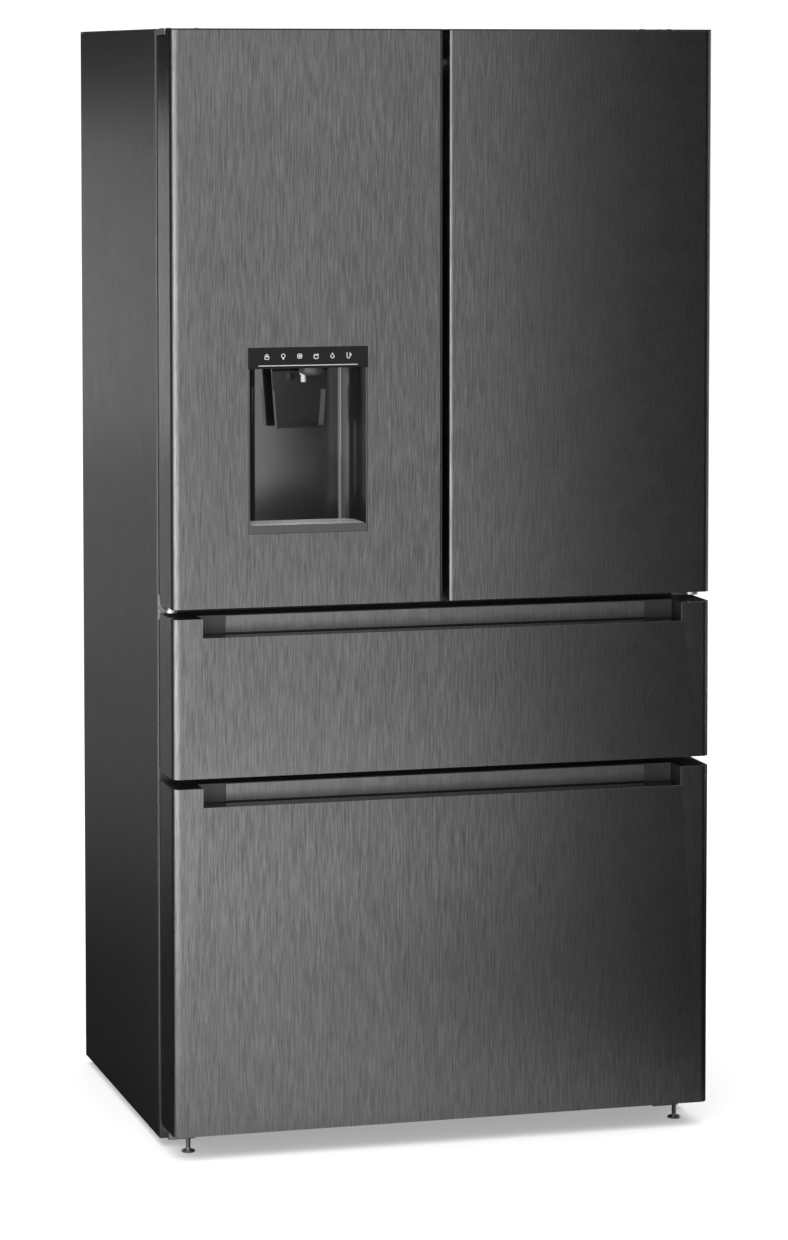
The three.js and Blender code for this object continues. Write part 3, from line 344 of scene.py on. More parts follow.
def bumpFrom(tree, shader, height, strength, distance):
    bump = tree.nodes.new("ShaderNodeBump")
    bump.inputs["Strength"].default_value = strength
    bump.inputs["Distance"].default_value = distance
    tree.links.new(height, bump.inputs["Height"])
    tree.links.new(bump.outputs[0], shader.inputs["Normal"])


def brushedMetal(name, dark, light, roughness, across=420, along=19, contrast=2.6, wear=0.5, metallic=1.0):
    material, tree, shader = newMaterial(name, light, roughness, metallic, Anisotropic=0.3)
    grain = place(tree, brushGrain, Across=across, Along=along, Contrast=contrast)
    worn = place(tree, edgeWear, Reach=wear)
    dust = place(tree, dustFilm, Amount=0.25)
    streaked = mixColour(tree, grain.outputs["Tone"], dark, light)
    bright = mixColour(tree, worn.outputs["Mask"], streaked, tuple(min(1, c * 1.7) for c in light))
    tree.links.new(bright, shader.inputs["Base Color"])
    rough = rangeTo(tree, grain.outputs["Tone"], roughness + 0.05, roughness - 0.05)
    tree.links.new(mathNode(tree, "ADD", rough, mathNode(tree, "MULTIPLY", dust.outputs["Film"], 0.2)),
                   shader.inputs["Roughness"])
    bumpFrom(tree, shader, grain.outputs["Height"], 0.12, 0.0004)
    return material


def mouldedPlastic(name, colour, roughness, grain=900, bump=0.08, spread=0.12, wear=0.3, **more):
    material, tree, shader = newMaterial(name, colour, roughness, 0.0, **more)
    mould = place(tree, mouldGrain, Scale=grain, Mottle=1.2)
    worn = place(tree, edgeWear, Reach=wear)
    dust = place(tree, dustFilm, Amount=0.3)
    low = tuple(c * (1 - spread) for c in colour)
    high = tuple(min(1, c * (1 + spread)) for c in colour)
    mottled = mixColour(tree, mould.outputs["Mottling"], low, high)
    edge = mixColour(tree, worn.outputs["Mask"], mottled, tuple(min(1, c * 1.25 + 0.02) for c in colour))
    tree.links.new(edge, shader.inputs["Base Color"])
    rough = rangeTo(tree, mould.outputs["Mottling"], roughness - 0.04, roughness + 0.04)
    tree.links.new(mathNode(tree, "ADD", rough, mathNode(tree, "MULTIPLY", dust.outputs["Film"], 0.25)),
                   shader.inputs["Roughness"])
    bumpFrom(tree, shader, mould.outputs["Height"], bump, 0.0003)
    return material


def leanNormal(tree, across, rise, heights):
    # turns the shading normal as a moulding that isn't quite flat does:
    # sideways, and upwards towards its foot
    spot = tree.nodes.new("ShaderNodeTexCoord")
    apart = tree.nodes.new("ShaderNodeSeparateXYZ")
    tree.links.new(spot.outputs["Object"], apart.inputs[0])
    lean = tree.nodes.new("ShaderNodeCombineXYZ")
    lean.inputs["X"].default_value = across
    lift = mathNode(tree, "MULTIPLY", fadeAlong(tree, apart.outputs["Z"], *heights), rise)
    tree.links.new(lift, lean.inputs["Z"])
    turned = tree.nodes.new("ShaderNodeVectorTransform")
    turned.vector_type = "VECTOR"
    turned.convert_from = "OBJECT"
    turned.convert_to = "WORLD"
    tree.links.new(lean.outputs[0], turned.inputs[0])
    geometry = tree.nodes.new("ShaderNodeNewGeometry")
    both = tree.nodes.new("ShaderNodeVectorMath")
    both.operation = "ADD"
    tree.links.new(geometry.outputs["Normal"], both.inputs[0])
    tree.links.new(turned.outputs[0], both.inputs[1])
    unit = tree.nodes.new("ShaderNodeVectorMath")
    unit.operation = "NORMALIZE"
    tree.links.new(both.outputs[0], unit.inputs[0])
    return unit.outputs[0]


def glossMoulding(name, colour, roughness, across, rise, heights, gloss=2.3):
    # dark gloss plastic of the dispenser, with its slow waves
    material, tree, shader = newMaterial(name, colour, roughness, 0.0, IOR=gloss)
    mould = place(tree, mouldGrain, Scale=700, Mottle=1)
    dust = place(tree, dustFilm, Amount=0.3)
    low, high = (tuple(c * share for c in colour) for share in (0.85, 1.15))
    tree.links.new(mixColour(tree, mould.outputs["Mottling"], low, high), shader.inputs["Base Color"])
    rough = rangeTo(tree, mould.outputs["Mottling"], roughness - 0.02, roughness + 0.02)
    tree.links.new(mathNode(tree, "ADD", rough, mathNode(tree, "MULTIPLY", dust.outputs["Film"], 0.12)),
                   shader.inputs["Roughness"])
    bumpFrom(tree, shader, mould.outputs["Height"], 0.02, 0.0002)
    bump = shader.inputs["Normal"].links[0].from_node
    tree.links.new(leanNormal(tree, across, rise, heights), bump.inputs["Normal"])
    return material


def clearMaterial(name, colour, roughness, alpha=1.0, transmission=1.0):
    material, tree, shader = newMaterial(
        name, colour, roughness, 0.0, Transmission_Weight=transmission, IOR=1.46, Alpha=alpha
    )
    mould = place(tree, mouldGrain, Scale=260, Mottle=1)
    dust = place(tree, dustFilm, Amount=0.35)
    rough = rangeTo(tree, mould.outputs["Mottling"], roughness, roughness + 0.05)
    tree.links.new(mathNode(tree, "ADD", rough, mathNode(tree, "MULTIPLY", dust.outputs["Film"], 0.3)),
                   shader.inputs["Roughness"])
    tint = mixColour(tree, mould.outputs["Mottling"], tuple(c * 0.96 for c in colour), colour)
    tree.links.new(tint, shader.inputs["Base Color"])
    return material


finishes = {
    "front_steel": brushedMetal("front_steel", (0.074, 0.074, 0.075), (0.2, 0.2, 0.202), 0.27),
    "side_steel": brushedMetal("side_steel", (0.085, 0.086, 0.088), (0.15, 0.151, 0.154), 0.36, 260, 12, 1.6),
    "strip_steel": brushedMetal("strip_steel", (0.09, 0.091, 0.094), (0.2, 0.202, 0.206), 0.38),
    "zinc_steel": brushedMetal("zinc_steel", (0.42, 0.43, 0.44), (0.62, 0.63, 0.64), 0.36, 500, 220, 1.2),
    "black_plastic": mouldedPlastic("black_plastic", (0.012, 0.012, 0.013), 0.42),
    "niche_plastic": mouldedPlastic("niche_plastic", (0.05, 0.051, 0.054), 0.33, bump=0.02),
    "panel_black": mouldedPlastic("panel_black", (0.004, 0.004, 0.0045), 0.06, bump=0.01,
                                  Specular_IOR_Level=0.2),
    "nozzle_silver": mouldedPlastic("nozzle_silver", (0.62, 0.63, 0.65), 0.26, bump=0.03),
    "gasket_rubber": mouldedPlastic("gasket_rubber", (0.007, 0.007, 0.007), 0.7, grain=1400, bump=0.2,
                                    Specular_IOR_Level=0.15),
    "liner_white": mouldedPlastic("liner_white", (0.78, 0.79, 0.8), 0.3, bump=0.03, spread=0.03),
    "foam": mouldedPlastic("foam", (0.62, 0.5, 0.27), 0.9, grain=420, bump=0.7, spread=0.2),
    "fin_aluminium": brushedMetal("fin_aluminium", (0.55, 0.56, 0.57), (0.78, 0.79, 0.8), 0.3, 400, 60, 1.2),
    "compressor_paint": mouldedPlastic("compressor_paint", (0.012, 0.012, 0.013), 0.34, grain=500, bump=0.15),
    "shelf_glass": clearMaterial("shelf_glass", (0.86, 0.95, 0.93), 0.02),
    "clear_plastic": clearMaterial("clear_plastic", (0.9, 0.94, 0.96), 0.09),
    "niche_gloss": glossMoulding("niche_gloss", (0.014, 0.014, 0.015), 0.12, 0.114, 0.34, (1.03, 1.15)),
    "niche_side": glossMoulding("niche_side", (0.014, 0.014, 0.015), 0.22, 0, 0.3, (1.03, 1.15), 1.45),
    "lever_gloss": glossMoulding("lever_gloss", (0.014, 0.014, 0.015), 0.12, 0.135, 0.1, (1.17, 1.2)),
    "tray_grey": mouldedPlastic("tray_grey", (0.5, 0.505, 0.515), 0.34, grain=500, bump=0.03),
    "end_plastic": mouldedPlastic("end_plastic", (0.045, 0.045, 0.047), 0.38, bump=0.03),
    "back_paint": mouldedPlastic("back_paint", (0.3, 0.31, 0.32), 0.45, grain=300, bump=0.05),
    "bright_trim": brushedMetal("bright_trim", (0.55, 0.56, 0.57), (0.75, 0.76, 0.77), 0.22, 900, 30, 1.2),
    "copper_tube": brushedMetal("copper_tube", (0.62, 0.28, 0.14), (0.82, 0.42, 0.24), 0.3, 300, 120, 1.4),
    "symbol_ink": mouldedPlastic("symbol_ink", (0.62, 0.64, 0.66), 0.4, bump=0.01),
    "lamp_lens": mouldedPlastic("lamp_lens", (0.86, 0.87, 0.88), 0.35, bump=0.05, Emission_Strength=5,
                                Emission_Color=(1, 0.97, 0.92, 1)),
}

for name, node in nodes.items():
    node.data.materials.clear()
    node.data.materials.append(finishes[slotOf[name]])
print("materials made:", len(finishes))


def join(bm, part, matrix=None):
    # moves a finished part into a larger mesh
    if matrix is not None:
        bmesh.ops.transform(part, matrix=matrix, verts=part.verts)
    holder = bpy.data.meshes.new("holder")
    part.to_mesh(holder)
    part.free()
    bm.from_mesh(holder)
    bpy.data.meshes.remove(holder)


def bevelEdges(bm, edges, width, segments=2):
    bmesh.ops.bevel(bm, geom=edges, offset=width, offset_type="OFFSET", affect="EDGES",
                    segments=segments, profile=0.5, clamp_overlap=True, material=-1)


def sharpEdges(bm, degrees):
    limit = math.radians(degrees)
    return [e for e in bm.edges if len(e.link_faces) == 2 and e.calc_face_angle() > limit]


def addBox(bm, low, high, bevel=0.0, segments=2):
    low, high = Vector(low), Vector(high)
    part = bmesh.new()
    spot = Matrix.Translation((low + high) / 2) @ Matrix.Diagonal((*(high - low), 1))
    bmesh.ops.create_cube(part, size=1, matrix=spot)
    if bevel:
        bevelEdges(part, part.edges[:], bevel, segments)
    join(bm, part)


def turnedTo(start, end):
    aim = Vector(end) - Vector(start)
    return Matrix.Translation(start) @ aim.to_track_quat("Z", "Y").to_matrix().to_4x4()


def addRod(bm, start, end, radius, sides=24, bevel=0.0, endRadius=None):
    length = (Vector(end) - Vector(start)).length
    part = bmesh.new()
    bmesh.ops.create_cone(part, cap_ends=True, segments=sides, radius1=radius,
                          radius2=radius if endRadius is None else endRadius, depth=length,
                          matrix=Matrix.Translation((0, 0, length / 2)))
    if bevel:
        bevelEdges(part, sharpEdges(part, 60), bevel)
    join(bm, part, turnedTo(start, end))


def addSpin(bm, profile, start, end, sides=48):
    # turns (radius, height) points about the line from start towards end
    part = bmesh.new()
    points = [part.verts.new((radius, 0, height)) for radius, height in profile]
    line = [part.edges.new(pair) for pair in zip(points, points[1:])]
    bmesh.ops.spin(part, geom=points + line, cent=(0, 0, 0), axis=(0, 0, 1), angle=math.tau, steps=sides,
                   use_merge=True)
    bmesh.ops.remove_doubles(part, verts=part.verts[:], dist=1e-6)
    bmesh.ops.recalc_face_normals(part, faces=part.faces[:])
    join(bm, part, turnedTo(start, end))


def addScrew(bm, spot, facing, radius=0.004):
    # a low round head with a socket
    part = bmesh.new()
    height = radius * 0.55
    bmesh.ops.create_cone(part, cap_ends=True, segments=20, radius1=radius, radius2=radius * 0.86,
                          depth=height, matrix=Matrix.Translation((0, 0, height / 2)))
    top = max(part.faces, key=lambda face: face.calc_center_median().z)
    bmesh.ops.inset_region(part, faces=[top], thickness=radius * 0.4, depth=0)
    bmesh.ops.inset_region(part, faces=[top], thickness=radius * 0.04, depth=-height * 0.7)
    join(bm, part, turnedTo(spot, Vector(spot) + Vector(facing)))


def addPipe(bm, points, radius, sides=6, rounding=0.0):
    # a pipe through the points, with its bends rounded
    curve = bpy.data.curves.new("pipe", "CURVE")
    curve.dimensions = "3D"
    curve.bevel_depth = radius
    curve.bevel_resolution = sides
    curve.use_fill_caps = True
    route = [Vector(p) for p in points]
    smooth = [route[0]]
    for before, here, after in zip(route, route[1:], route[2:]):
        reach = min(rounding, (here - before).length / 2, (after - here).length / 2)
        enter = here + (before - here).normalized() * reach
        leave = here + (after - here).normalized() * reach
        for step in range(7):
            t = step / 6
            smooth.append(enter * (1 - t) ** 2 + here * 2 * t * (1 - t) + leave * t ** 2)
    smooth.append(route[-1])
    line = curve.splines.new("POLY")
    line.points.add(len(smooth) - 1)
    for point, spot in zip(line.points, smooth):
        point.co = (*spot, 1)
    holder = bpy.data.objects.new("pipe", curve)
    mesh = bpy.data.meshes.new_from_object(holder)
    bm.from_mesh(mesh)
    bpy.data.objects.remove(holder)
    bpy.data.curves.remove(curve)
    bpy.data.meshes.remove(mesh)


def addPlate(bm, corners, depth, direction=(0, 1, 0), bevel=0.0):
    # a flat outline given as points, thickened along a direction
    part = bmesh.new()
    face = part.faces.new([part.verts.new(corner) for corner in corners])
    grown = bmesh.ops.extrude_face_region(part, geom=[face])
    moved = [item for item in grown["geom"] if isinstance(item, bmesh.types.BMVert)]
    bmesh.ops.translate(part, vec=Vector(direction) * depth, verts=moved)
    bmesh.ops.recalc_face_normals(part, faces=part.faces[:])
    if bevel:
        bevelEdges(part, sharpEdges(part, 30), bevel)
    join(bm, part)


def addRing(bm, x, z, y, steps, corner=0.018):
    # a closed rectangular ring in an upright plane; steps are (inwards, towards +Y) moves across
    # its section, and its corners are rounder than the section is wide
    part = bmesh.new()
    spots = [(x[0], y, z[0]), (x[0], y, z[1]), (x[1], y, z[1]), (x[1], y, z[0])]
    part.faces.new([part.verts.new(spot) for spot in spots])
    bmesh.ops.bevel(part, geom=part.verts[:], offset=corner, offset_type="OFFSET", affect="VERTICES",
                    segments=5, profile=0.5, material=-1)
    face = list(part.faces)[0]
    if face.normal.y < 0:
        bmesh.ops.reverse_faces(part, faces=[face])
    for inwards, outwards in steps:
        bmesh.ops.inset_individual(part, faces=[face], thickness=inwards, depth=outwards,
                                   use_even_offset=True)
    bmesh.ops.delete(part, geom=[face], context="FACES")
    rims = [edge for edge in part.edges if edge.is_boundary]
    bmesh.ops.bridge_loops(part, edges=rims)
    bmesh.ops.recalc_face_normals(part, faces=part.faces[:])
    join(bm, part)


def finishPiece(name, bm, body, slotName, replaced=(), finish=None, angle=35):
    for face in bm.faces:
        face.smooth = True
    mesh = bpy.data.meshes.new(name)
    bm.to_mesh(mesh)
    bm.free()
    mesh.set_sharp_from_angle(angle=math.radians(angle))
    mesh.materials.append(finish or finishes[slotName])
    piece = bpy.data.objects.new(name, mesh)
    bpy.context.collection.objects.link(piece)
    flat = piece.modifiers.new("flat_faces", "WEIGHTED_NORMAL")
    flat.keep_sharp = True
    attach(piece, body)
    if replaced:
        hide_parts(*replaced)
    return piece


def cadCopy(name):
    bm = bmesh.new()
    bm.from_mesh(nodes[name].data)
    bmesh.ops.remove_doubles(bm, verts=bm.verts[:], dist=2e-5)
    bmesh.ops.dissolve_limit(bm, angle_limit=math.radians(1.5), verts=bm.verts[:], edges=bm.edges[:])
    return bm


def refined(node, name, bevel=0.0006, segments=2, angle=40, slotName=None, finish=None):
    # the working shape with its edges eased
    bm = cadCopy(node)
    bevelEdges(bm, sharpEdges(bm, angle), bevel, segments)
    return finishPiece(name, bm, bodyOf[node], slotName or slotOf[node], [node], finish)


def repaint(piece, finish, test):
    # gives the faces whose middle passes the test another finish
    piece.data.materials.append(finish)
    index = len(piece.data.materials) - 1
    for face in piece.data.polygons:
        if test(face.center, face.normal):
            face.material_index = index


fronts = ("door_left", "door_right", "flex_front", "freezer_front")
gasketSection = {  # (inwards, towards the cabinet) across a gasket: foot, bellows, magnet pillow and back
    "steps": [(0.0004, 0.0035), (0.0014, 0.0006), (0.0012, -0.0014), (0.0008, 0.0062), (0.0009, 0.0014),
              (0.0016, 0.0009), (0.0034, 0.0), (0.0016, -0.0009), (0.0009, -0.0014), (0.0008, -0.0062),
              (0.0012, 0.0014), (0.0014, -0.0006), (0.0004, -0.0035)],
}


def makeGasket(node, name):
    low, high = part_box(node)
    bm = bmesh.new()
    addRing(bm, (low.x, high.x), (low.z, high.z), low.y, gasketSection["steps"])
    finishPiece(name, bm, bodyOf[node], "gasket_rubber", [node])


def makeFronts():
    for front in fronts:
        refined(f"{front}_skin", f"{front}_steel", bevel=0.0003, angle=50)
        liner = refined(f"{front}_liner", f"{front}_inner", bevel=0.0007, slotName="black_plastic")
        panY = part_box(f"{front}_skin")[1].y - 0.004
        repaint(liner, finishes["liner_white"], lambda spot, normal: spot.y > panY)
        gasket = f"{front}_gasket" if front.startswith("door") else f"{front.split('_')[0]}_gasket"
        makeGasket(gasket, f"{gasket}_bellows")
    print("fronts made")


channel = {"endWidth": 0.048, "clearance": 0.0004, "sillDrop": 0.0015, "sillThick": 0.0018,
           "barDeep": 0.0022, "barRise": 0.0004}


def makeHandles():
    # the brushed strip at the back of each handle recess, and the gloss sill it stands on
    for drawer in ("flex", "freezer"):
        refined(f"{drawer}_handle_strip", f"{drawer}_grip_strip", bevel=0.0004)
        low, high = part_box(f"{drawer}_handle_strip")
        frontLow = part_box(f"{drawer}_front_skin")[0]
        bm = bmesh.new()
        clear, deep = channel["clearance"], channel["barDeep"]
        outer = low.x - channel["endWidth"] + clear, high.x + channel["endWidth"] - clear
        sillTop = low.z - channel["sillDrop"]
        addBox(bm, (outer[0], frontLow.y + 0.0002, sillTop - channel["sillThick"]),
               (outer[1], low.y - clear, sillTop), 0.0007)
        addBox(bm, (outer[0], frontLow.y + 0.0001, sillTop - deep),
               (outer[1], frontLow.y + deep, sillTop + channel["barRise"]), 0.0006)
        finishPiece(f"{drawer}_grip_sill", bm, f"{drawer}_drawer", "panel_black")
        ends = bmesh.new()
        top = high.z + 0.0010
        for start, stop in ((outer[0], low.x - 0.0003), (high.x + 0.0003, outer[1])):
            addBox(ends, (start, low.y + 0.0001, sillTop + 0.0002), (stop, high.y, top), 0.0005)
        finishPiece(f"{drawer}_grip_ends", ends, f"{drawer}_drawer", "niche_plastic",
                    finish=finishes["end_plastic"])
    print("handles made")


icons = {"count": 6, "size": 0.0096, "firstShare": 0.155, "pitchShare": 0.137, "riseShare": 0.58,
         "stand": 0.00025, "stroke": 0.00105}


def frameLines(bm, x, z, y, stroke, stand, openTop=False):
    # an upright rectangular outline standing on the panel
    addBox(bm, (x[0], y - stand, z[0]), (x[1], y, z[0] + stroke))
    addBox(bm, (x[0], y - stand, z[0]), (x[0] + stroke, y, z[1]))
    addBox(bm, (x[1] - stroke, y - stand, z[0]), (x[1], y, z[1]))
    if not openTop:
        addBox(bm, (x[0], y - stand, z[1] - stroke), (x[1], y, z[1]))


def circleLine(bm, x, z, y, radius, stroke, stand):
    inner = radius - stroke
    profile = [(inner, 0), (radius, 0), (radius, stand), (inner, stand), (inner, 0)]
    addSpin(bm, profile, (x, y, z), (x, y - 1, z), sides=20)


def drawIcon(bm, kind, x, z, y):
    size, stroke, stand = icons["size"], icons["stroke"], icons["stand"]
    half = size / 2
    if kind == 0:  # child lock
        frameLines(bm, (x - half * 0.8, x + half * 0.8), (z - half, z + half * 0.25), y, stroke, stand)
        circleLine(bm, x, z + half * 0.35, y, half * 0.55, stroke, stand)
    elif kind == 1:  # lamp
        circleLine(bm, x, z + half * 0.2, y, half * 0.72, stroke, stand)
        addBox(bm, (x - half * 0.25, y - stand, z - half), (x + half * 0.25, y, z - half * 0.55))
    elif kind == 2:  # ice cube
        reach = half * 0.8
        frameLines(bm, (x - reach, x + reach), (z - reach, z + reach), y, stroke, stand)
        addBox(bm, (x - half * 0.3, y - stand, z - half * 0.3), (x + half * 0.3, y, z + half * 0.3))
    elif kind == 3:  # crushed ice
        frameLines(bm, (x - half * 0.8, x + half * 0.8), (z - half, z + half * 0.2), y, stroke, stand, True)
        for shift in (-0.45, 0.1, 0.6):
            addBox(bm, (x + half * (shift - 0.15), y - stand, z + half * 0.1),
                   (x + half * (shift + 0.2), y, z + half * (0.5 + abs(shift) * 0.4)))
    elif kind == 4:  # drop
        circleLine(bm, x, z - half * 0.2, y, half * 0.7, stroke, stand)
        foot = [(x + side * half * 0.45, y - stand, z + half * 0.3) for side in (-1, 1)]
        addPlate(bm, [*foot, (x, y - stand, z + half)], stand)
    else:  # glass
        frameLines(bm, (x - half * 0.7, x + half * 0.5), (z - half, z + half), y, stroke, stand, True)
        frameLines(bm, (x + half * 0.5, x + half), (z - half * 0.1, z + half * 0.6), y, stroke * 0.8, stand)


def makeDispenser():
    recess = refined("dispenser_housing", "dispenser_recess", bevel=0.0008, segments=3, angle=50)
    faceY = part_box("dispenser_housing")[0].y + 0.002
    repaint(recess, finishes["niche_gloss"], lambda spot, normal: spot.y > faceY and normal.y < -0.97)
    repaint(recess, finishes["niche_side"], lambda spot, normal: spot.y > faceY and normal.y >= -0.97)
    low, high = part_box("dispenser_panel")
    bm = bmesh.new()
    addBox(bm, low, high, 0.0012, 3)
    finishPiece("dispenser_glass", bm, "door_left", "panel_black", ["dispenser_panel"])
    width, height = high.x - low.x, high.z - low.z
    marks = bmesh.new()
    for kind in range(icons["count"]):
        x = low.x + width * (icons["firstShare"] + icons["pitchShare"] * kind)
        drawIcon(marks, kind, x, low.z + height * icons["riseShare"], low.y)
    finishPiece("dispenser_symbols", marks, "door_left", "nozzle_silver", finish=finishes["symbol_ink"])
    line = bmesh.new()
    addBox(line, (low.x + width * 0.085, low.y - 0.0004, low.z + 0.0042),
           (high.x - width * 0.085, low.y + 0.0004, low.z + 0.0056), 0.0003)
    finishPiece("dispenser_trim_line", line, "door_left", "strip_steel", finish=finishes["bright_trim"])
    makeNozzle()
    refined("dispenser_paddle", "dispenser_lever", bevel=0.0007, segments=3, angle=50,
            finish=finishes["lever_gloss"])
    makeDripTray()
    print("dispenser made")


nozzle = {"chute": 0.021, "chuteDrop": 0.013, "spout": 0.0042, "spoutDrop": 0.0108, "bore": 0.0026}


def makeNozzle():
    # the round ice chute, and the short bright water spout in the middle of the panel
    low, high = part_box("dispenser_nozzle")
    ring, drop, top = nozzle["chute"], nozzle["chuteDrop"], high.z
    x, y = high.x - ring, low.y + ring
    bm = bmesh.new()
    profile = [(0, 0), (ring, 0), (ring, drop * 0.45), (ring * 0.97, drop * 0.62), (ring * 0.9, drop * 0.78),
               (ring * 0.76, drop * 0.92), (ring * 0.66, drop), (ring * 0.56, drop),
               (ring * 0.52, drop * 0.9), (ring * 0.48, drop * 0.4), (0, drop * 0.4)]
    addSpin(bm, profile, (x, y, top), (x, y, top - 1), sides=64)
    whole = bm.verts[:] + bm.edges[:] + bm.faces[:]
    sliced = bmesh.ops.bisect_plane(bm, geom=whole, plane_co=(x, high.y, top), plane_no=(0, 1, 0),
                                    clear_outer=True)
    rim = [item for item in sliced["geom_cut"] if isinstance(item, bmesh.types.BMEdge)]
    bmesh.ops.contextual_create(bm, geom=rim)
    finishPiece("dispenser_chute", bm, "door_left", "niche_plastic", ["dispenser_nozzle"],
                finish=finishes["end_plastic"])
    spout = bmesh.new()
    panelLow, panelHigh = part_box("dispenser_panel")
    x = (panelLow.x + panelHigh.x) / 2
    tip, bore, reach = nozzle["spout"], nozzle["bore"], drop + nozzle["spoutDrop"]
    profile = [(0, 0), (tip + 0.002, 0), (tip + 0.002, drop * 0.8), (tip, drop), (tip, reach - 0.001),
               (tip - 0.0008, reach), (bore, reach), (bore, drop), (0, drop)]
    addSpin(spout, profile, (x, y - 0.001, top), (x, y - 0.001, top - 1), sides=40)
    finishPiece("dispenser_spout", spout, "door_left", "nozzle_silver")


tray = {"rim": 0.0046, "thick": 0.0014, "slots": 15, "slotLong": 0.012, "slotWide": 0.0016, "notch": 0.011}


def makeDripTray():
    refined("drip_tray", "drip_tray_pan", bevel=0.0006, segments=3, angle=50, finish=finishes["tray_grey"])
    low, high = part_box("drip_tray")
    rim, top = tray["rim"], high.z - 0.0004
    x, y = (low.x + rim, high.x - rim), (low.y + rim, high.y - rim - 0.012)
    middle, notch = (x[0] + x[1]) / 2, tray["notch"]
    bm = bmesh.new()
    outline = [(x[1], y[0] + 0.002), (x[1], y[1] - 0.012), (x[1] - 0.012, y[1]), (x[0] + 0.012, y[1]),
               (x[0], y[1] - 0.012), (x[0], y[0] + 0.002), (x[0] + 0.002, y[0])]
    for step in range(9):  # the finger notch in the front edge
        swing = math.pi * (1 - step / 8)
        outline.append((middle + math.cos(swing) * notch, y[0] + math.sin(swing) * notch))
    outline.append((x[1] - 0.002, y[0]))
    addPlate(bm, [(px, py, top - tray["thick"]) for px, py in outline], tray["thick"], (0, 0, 1), 0.0004)
    finishPiece("drip_tray_plate", bm, "drip_tray_body", "niche_plastic", finish=finishes["tray_grey"])
    slots = bmesh.new()
    for row in (0.45, 0.72):  # drain slots, as dark inlays
        for slot in range(tray["slots"]):
            spot = x[0] + 0.012 + slot * (x[1] - x[0] - 0.024) / (tray["slots"] - 1)
            middleY = y[0] + (y[1] - y[0]) * row
            addBox(slots, (spot - tray["slotWide"] / 2, middleY, top - 0.0006),
                   (spot + tray["slotWide"] / 2, middleY + tray["slotLong"] / 2, top + 0.00012))
    finishPiece("drip_tray_slots", slots, "drip_tray_body", "black_plastic")


rearStamp = {"columns": 4, "rise": 0.003, "margin": 0.045, "gap": 0.035, "rows": ((0.06, 0.46), (0.52, 0.94))}
screws = {"sideInset": 0.012, "rows": 7, "columns": 5, "radius": 0.004}


def makeCabinet():
    refined("outer_wrapper", "cabinet_wrapper", bevel=0.0005)
    refined("front_frame", "cabinet_front_frame", bevel=0.0012, segments=3)
    refined("top_cover", "cabinet_top_cover", bevel=0.0009, segments=3)
    refined("base_pan", "cabinet_base_pan", bevel=0.0005)
    low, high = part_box("rear_panel")
    bm = bmesh.new()
    addBox(bm, low, high, 0.0004)
    width = high.x - low.x - 2 * rearStamp["margin"]
    step = (width + rearStamp["gap"]) / rearStamp["columns"]
    for column in range(rearStamp["columns"]):  # stamped stiffening fields
        x = low.x + rearStamp["margin"] + column * step
        for row in rearStamp["rows"]:
            z = [low.z + (high.z - low.z) * share for share in row]
            addBox(bm, (x, high.y - 0.0006, z[0]),
                   (x + step - rearStamp["gap"], high.y + rearStamp["rise"], z[1]), 0.0012, 3)
    finishPiece("rear_panel_stamped", bm, "cabinet", "zinc_steel", ["rear_panel"],
                finish=finishes["back_paint"])
    refined("machine_cover", "machine_cover_louvred", bevel=0.0003, slotName="zinc_steel",
            finish=finishes["back_paint"])
    heads = bmesh.new()
    inset = screws["sideInset"]
    for row in range(screws["rows"]):
        z = low.z + 0.02 + (high.z - low.z - 0.04) * row / (screws["rows"] - 1)
        for x in (low.x + inset, high.x - inset):
            addScrew(heads, (x, high.y, z), (0, 1, 0), screws["radius"])
    coverLow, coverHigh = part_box("machine_cover")
    for column in range(screws["columns"]):
        x = coverLow.x + 0.02 + (coverHigh.x - coverLow.x - 0.04) * column / (screws["columns"] - 1)
        for z in (coverLow.z + 0.012, coverHigh.z - 0.012):
            addScrew(heads, (x, coverHigh.y, z), (0, 1, 0), screws["radius"])
    finishPiece("rear_screws", heads, "cabinet", "zinc_steel")
    makeTopDetails()
    print("cabinet made")


topRib = {"count": 5, "width": 0.010, "rise": 0.0012, "inset": 0.05}


def makeTopDetails():
    # ribs pressed in the top cover, its screws and the hinges
    low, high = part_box("top_cover")
    bm = bmesh.new()
    for rib in range(topRib["count"]):
        y = low.y + 0.14 + rib * (high.y - low.y - 0.2) / (topRib["count"] - 1)
        addBox(bm, (low.x + topRib["inset"], y, high.z - 0.0004),
               (high.x - topRib["inset"], y + topRib["width"], high.z + topRib["rise"]), 0.0008, 3)
    finishPiece("top_cover_ribs", bm, "cabinet", "black_plastic")
    heads = bmesh.new()
    for side in (-1, 1):
        for x, y in ((0.028, 0.03), (0.075, 0.03), (0.028, 0.08)):
            addScrew(heads, (side * (high.x - x), low.y + y, high.z - 0.0002), (0, 0, 1), 0.0042)
    finishPiece("top_cover_screws", heads, "cabinet", "zinc_steel")
    for side in ("left", "right"):
        refined(f"hinge_top_{side}", f"top_hinge_{side}", bevel=0.0006)
        refined(f"hinge_middle_{side}", f"middle_hinge_{side}", bevel=0.0006)


footShape = {"pad": 0.011, "padTop": 0.005, "stem": 0.004, "pitch": 0.0016, "threadDepth": 0.0005,
             "nut": 0.0075, "nutHeight": 0.004, "nutDrop": 0.0121}


